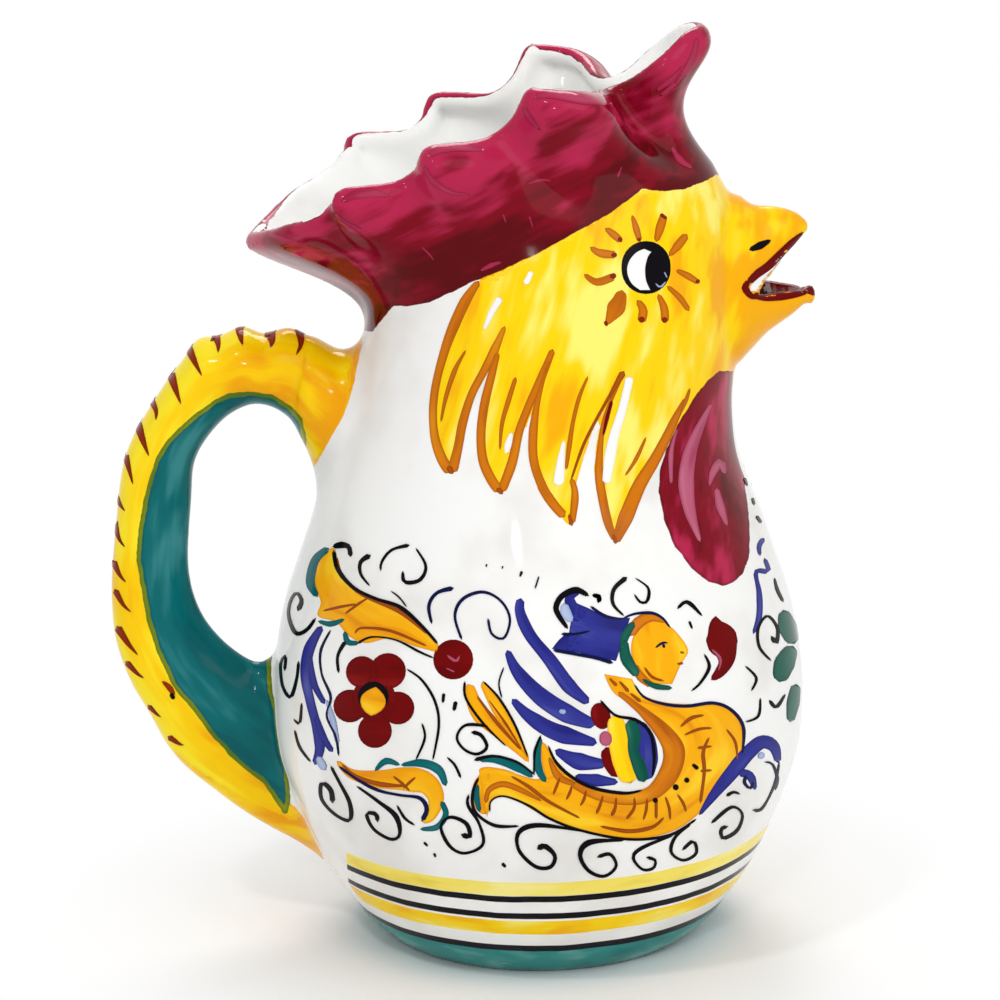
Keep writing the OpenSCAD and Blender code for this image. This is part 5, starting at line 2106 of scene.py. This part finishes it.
        # On the comb, rise is darkest at the seam and lightest at the rim: paint that pools and thins, with
        # painted shade low down and painted light high up.
        return {"relief": np.where(places[:, 0] > self.strap_to, face, strap),
                "rise": np.where(places[:, 2] > seam - self.comb_rise / 2, 2 * share - 1, 0.0)}

    def grain(self, clay: Clay, skin: Skin) -> Array:
        """Which way the brush went at each vertex: along it, across it and a third way.

        Args:
            clay: The modelled clay.
            skin: Its skin.

        Returns:
            A vector for each vertex.
        """
        places, vessel = skin.places, self.vessel
        grain = np.stack([vessel.turn(places) * vessel.belly_r, places[:, 2], np.zeros(len(places))], -1)
        face = (places[:, 0] > -vessel.nape_reach) & (places[:, 2] > vessel.shoulder_z)
        comb = places[:, 2] > vessel.seam_at(places)
        for way, area in ((self.face_way, face), (self.comb_way, comb)):
            aside = np.cross(way, (0.0, 1.0, 0.0))
            turned = np.stack([places @ np.array(way), places @ aside, np.abs(places[:, 1])], -1)
            grain = np.where(area[:, None], turned, grain)
        by = clay.by_strap(places, self.strap_near)
        spine = self.handle.rings(vessel).mean(1)
        gaps = np.linalg.norm(places[by][:, None] - spine[None], axis=-1)
        nearest = gaps.argmin(1)
        ahead = unit(np.gradient(spine, axis=0))[nearest]
        off = places[by] - spine[nearest]
        aside = np.cross(ahead, (0.0, 1.0, 0.0))
        along = lengths_along(spine)[nearest] + (off * ahead).sum(1)
        strap = np.stack([along, (off * aside).sum(1), np.abs(off[:, 1])], -1)
        grain[by] = np.where((gaps.min(1) < self.handle.flare_half)[:, None], strap, grain[by])
        return grain

    def material(self, effects: GlazeEffects) -> bpy.types.Material:
        """White tin glaze with everything that is painted on it in broad strokes.

        Args:
            effects: The node groups that the pieces share.

        Returns:
            The material of all seven pieces.
        """
        finish = GlazeFinish()
        material, wires, place = finish.surface("painted_earthenware", effects)
        white, cloud = Pigment.MILK.shade(0), Pigment.MILK.shade(2)
        color = wires.group(effects.ground, {"White": white, "Cloud": cloud, "Place": place}).outputs[0]
        for pigment, name, streaks in self.paints:
            inset = wires.attribute(name)
            if pigment is Pigment.OLIVE:
                inset = wires.sum("ADD", inset, self.bleed)
            if pigment is Pigment.TEAL:
                inset = wires.sum("SUBTRACT", inset, self.drawn_back)
            # The comb's maroon takes rise, which paints shade towards the seam and light towards the rim.
            relief = {"yellow": "relief", "gold": "relief", "maroon": "rise"}.get(name)
            relief = wires.attribute(relief) if relief else 0.0
            paint = finish.brushed(wires, effects, pigment, inset, streaks, relief)
            color = wires.group(effects.region, {"Ground": color, "Paint": paint, "Inset": inset,
                                                 "Place": place}).outputs[0]
        outer = wires.attribute("outer")
        for band in self.bands:
            paint = finish.brushed(wires, effects, band.pigment, self.band_inset, self.band_streaks)
            color = wires.group(effects.band, {"Ground": color, "Paint": paint, "Low": band.low,
                                               "High": band.high, "Place": place, "Outer": outer}).outputs[0]
        wires.join(color, material.node_tree.nodes[SHADER].inputs["Base Color"])
        return material

    def build(self, view: Viewpoint, effects: GlazeEffects) -> Skin:
        """Makes the pieces, each in the place of its node.

        Args:
            view: The photograph's camera.
            effects: The node groups that the pieces share.

        Returns:
            The skin that they share.
        """
        clay, skin = self.shape()
        carried = self.insets(clay, skin, view)
        carried["grain"] = self.grain(clay, skin)
        material = self.material(effects)
        for part, faces in skin.faces.items():
            node = part.name.lower()
            used, corner = np.unique(faces, return_inverse=True)
            piece = mesh_object("glazed_" + node, skin.places[used], corner.reshape(faces.shape),
                                skin.normals[used])
            for name, values in carried.items():
                carry(piece, name, values[used])
            piece.data.materials.append(material)
            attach(piece, BODY)
            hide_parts(node)
            log.info("%s: %d faces", piece.name, len(faces))
        return skin


@dataclass
class Studio:
    """A pale floor under soft boxes, in millimetres and watts."""

    floor_half: float = 4000.0
    floor_color: Triple = (0.9, 0.9, 0.9)
    floor_roughness: float = 0.9
    aim: Triple = (0.0, 0.0, 120.0)
    clear_from: float = 60.0
    clear_to: float = 150.0
    world_light: float = 0.55
    lamps: tuple[tuple[Triple, float, float], ...] = (
        ((850.0, -1000.0, 1200.0), 1400.0, 9.0),
        ((-250.0, -1400.0, 800.0), 130.0, 2.6),
        ((-600.0, -850.0, 1500.0), 160.0, 4.0),
        ((0.0, 900.0, 1000.0), 600.0, 6.0))

    def build(self) -> None:
        """Makes the floor, the lamps and the world."""
        half = self.floor_half
        corners = np.array([(-half, -half, 0), (half, -half, 0), (half, half, 0), (-half, half, 0)], float)
        floor = mesh_object("floor", corners, [(0, 1, 2, 3)], None)
        floor.data.materials.append(self.floor_material())
        for place, size, watts in self.lamps:
            data = bpy.data.lights.new("softbox", "AREA")
            data.shape = "DISK"
            data.size = size * MM
            data.energy = watts
            lamp = bpy.data.objects.new("softbox", data)
            lamp.location = Vector(place) * MM
            way = Vector(self.aim) * MM - lamp.location
            lamp.rotation_euler = way.to_track_quat("-Z", "Y").to_euler()
            bpy.context.scene.collection.objects.link(lamp)
        world = bpy.data.worlds.new("studio")
        bpy.context.scene.world = world
        world.use_nodes = True
        shade = world.node_tree.nodes["Background"]
        shade.inputs["Color"].default_value = WHITE
        wires = Wiring(world.node_tree)
        strength = wires.sum("MULTIPLY_ADD", self.looked_at(wires), 1.0 - self.world_light, self.world_light)
        wires.join(strength, shade.inputs["Strength"])

    @staticmethod
    def looked_at(wires: Wiring) -> Socket:
        """1 for a ray that shows the background, straight, mirrored or through glass, or else 0.

        Args:
            wires: The wiring to add to.

        Returns:
            The answer's socket.
        """
        path = wires.add("LightPath")
        mirrored = wires.sum("MAXIMUM", path.outputs["Is Glossy Ray"], path.outputs["Is Transmission Ray"])
        return wires.sum("MAXIMUM", path.outputs["Is Camera Ray"], mirrored)

    def floor_material(self) -> bpy.types.Material:
        """A floor that takes the pitcher's shadow and clears to white away from it.

        Returns:
            The material.
        """
        material = bpy.data.materials.new("floor")
        material.use_nodes = True
        tree = material.node_tree
        wires = Wiring(tree)
        shader = tree.nodes[SHADER]
        shader.inputs["Base Color"].default_value = (*self.floor_color, 1.0)
        shader.inputs["Roughness"].default_value = self.floor_roughness
        length = wires.add("VectorMath", {0: wires.place()}, operation="LENGTH").outputs["Value"]
        clear = wires.step(length, self.clear_from, self.clear_to)
        white = wires.add("Emission", {"Color": WHITE, "Strength": 1.0})
        mixed = wires.add("MixShader", {0: wires.sum("MULTIPLY", clear, self.looked_at(wires)),
                                        1: shader.outputs[0], 2: white.outputs[0]})
        wires.join(mixed.outputs[0], tree.nodes["Material Output"].inputs["Surface"])
        return material


def main() -> None:
    """Builds the pitcher and its studio."""
    bpy.context.scene.view_settings.view_transform = "Standard"
    view = Viewpoint()
    view.build()
    Studio().build()
    effects = GlazeEffects()
    skin = GlazedClay().build(view, effects)
    painter = Painter(skin, view, effects)
    for decoration in (FEATHERS, EYE, MOUTH, WATTLE_LIGHTS, COMB_HIGHLIGHTS, HANDLE_TICKS, LEAVES,
                       BEAST, LINES):
        painter.apply(decoration)


if __name__ == "__main__":
    logging.basicConfig(level=logging.INFO, format="%(message)s")
    main()
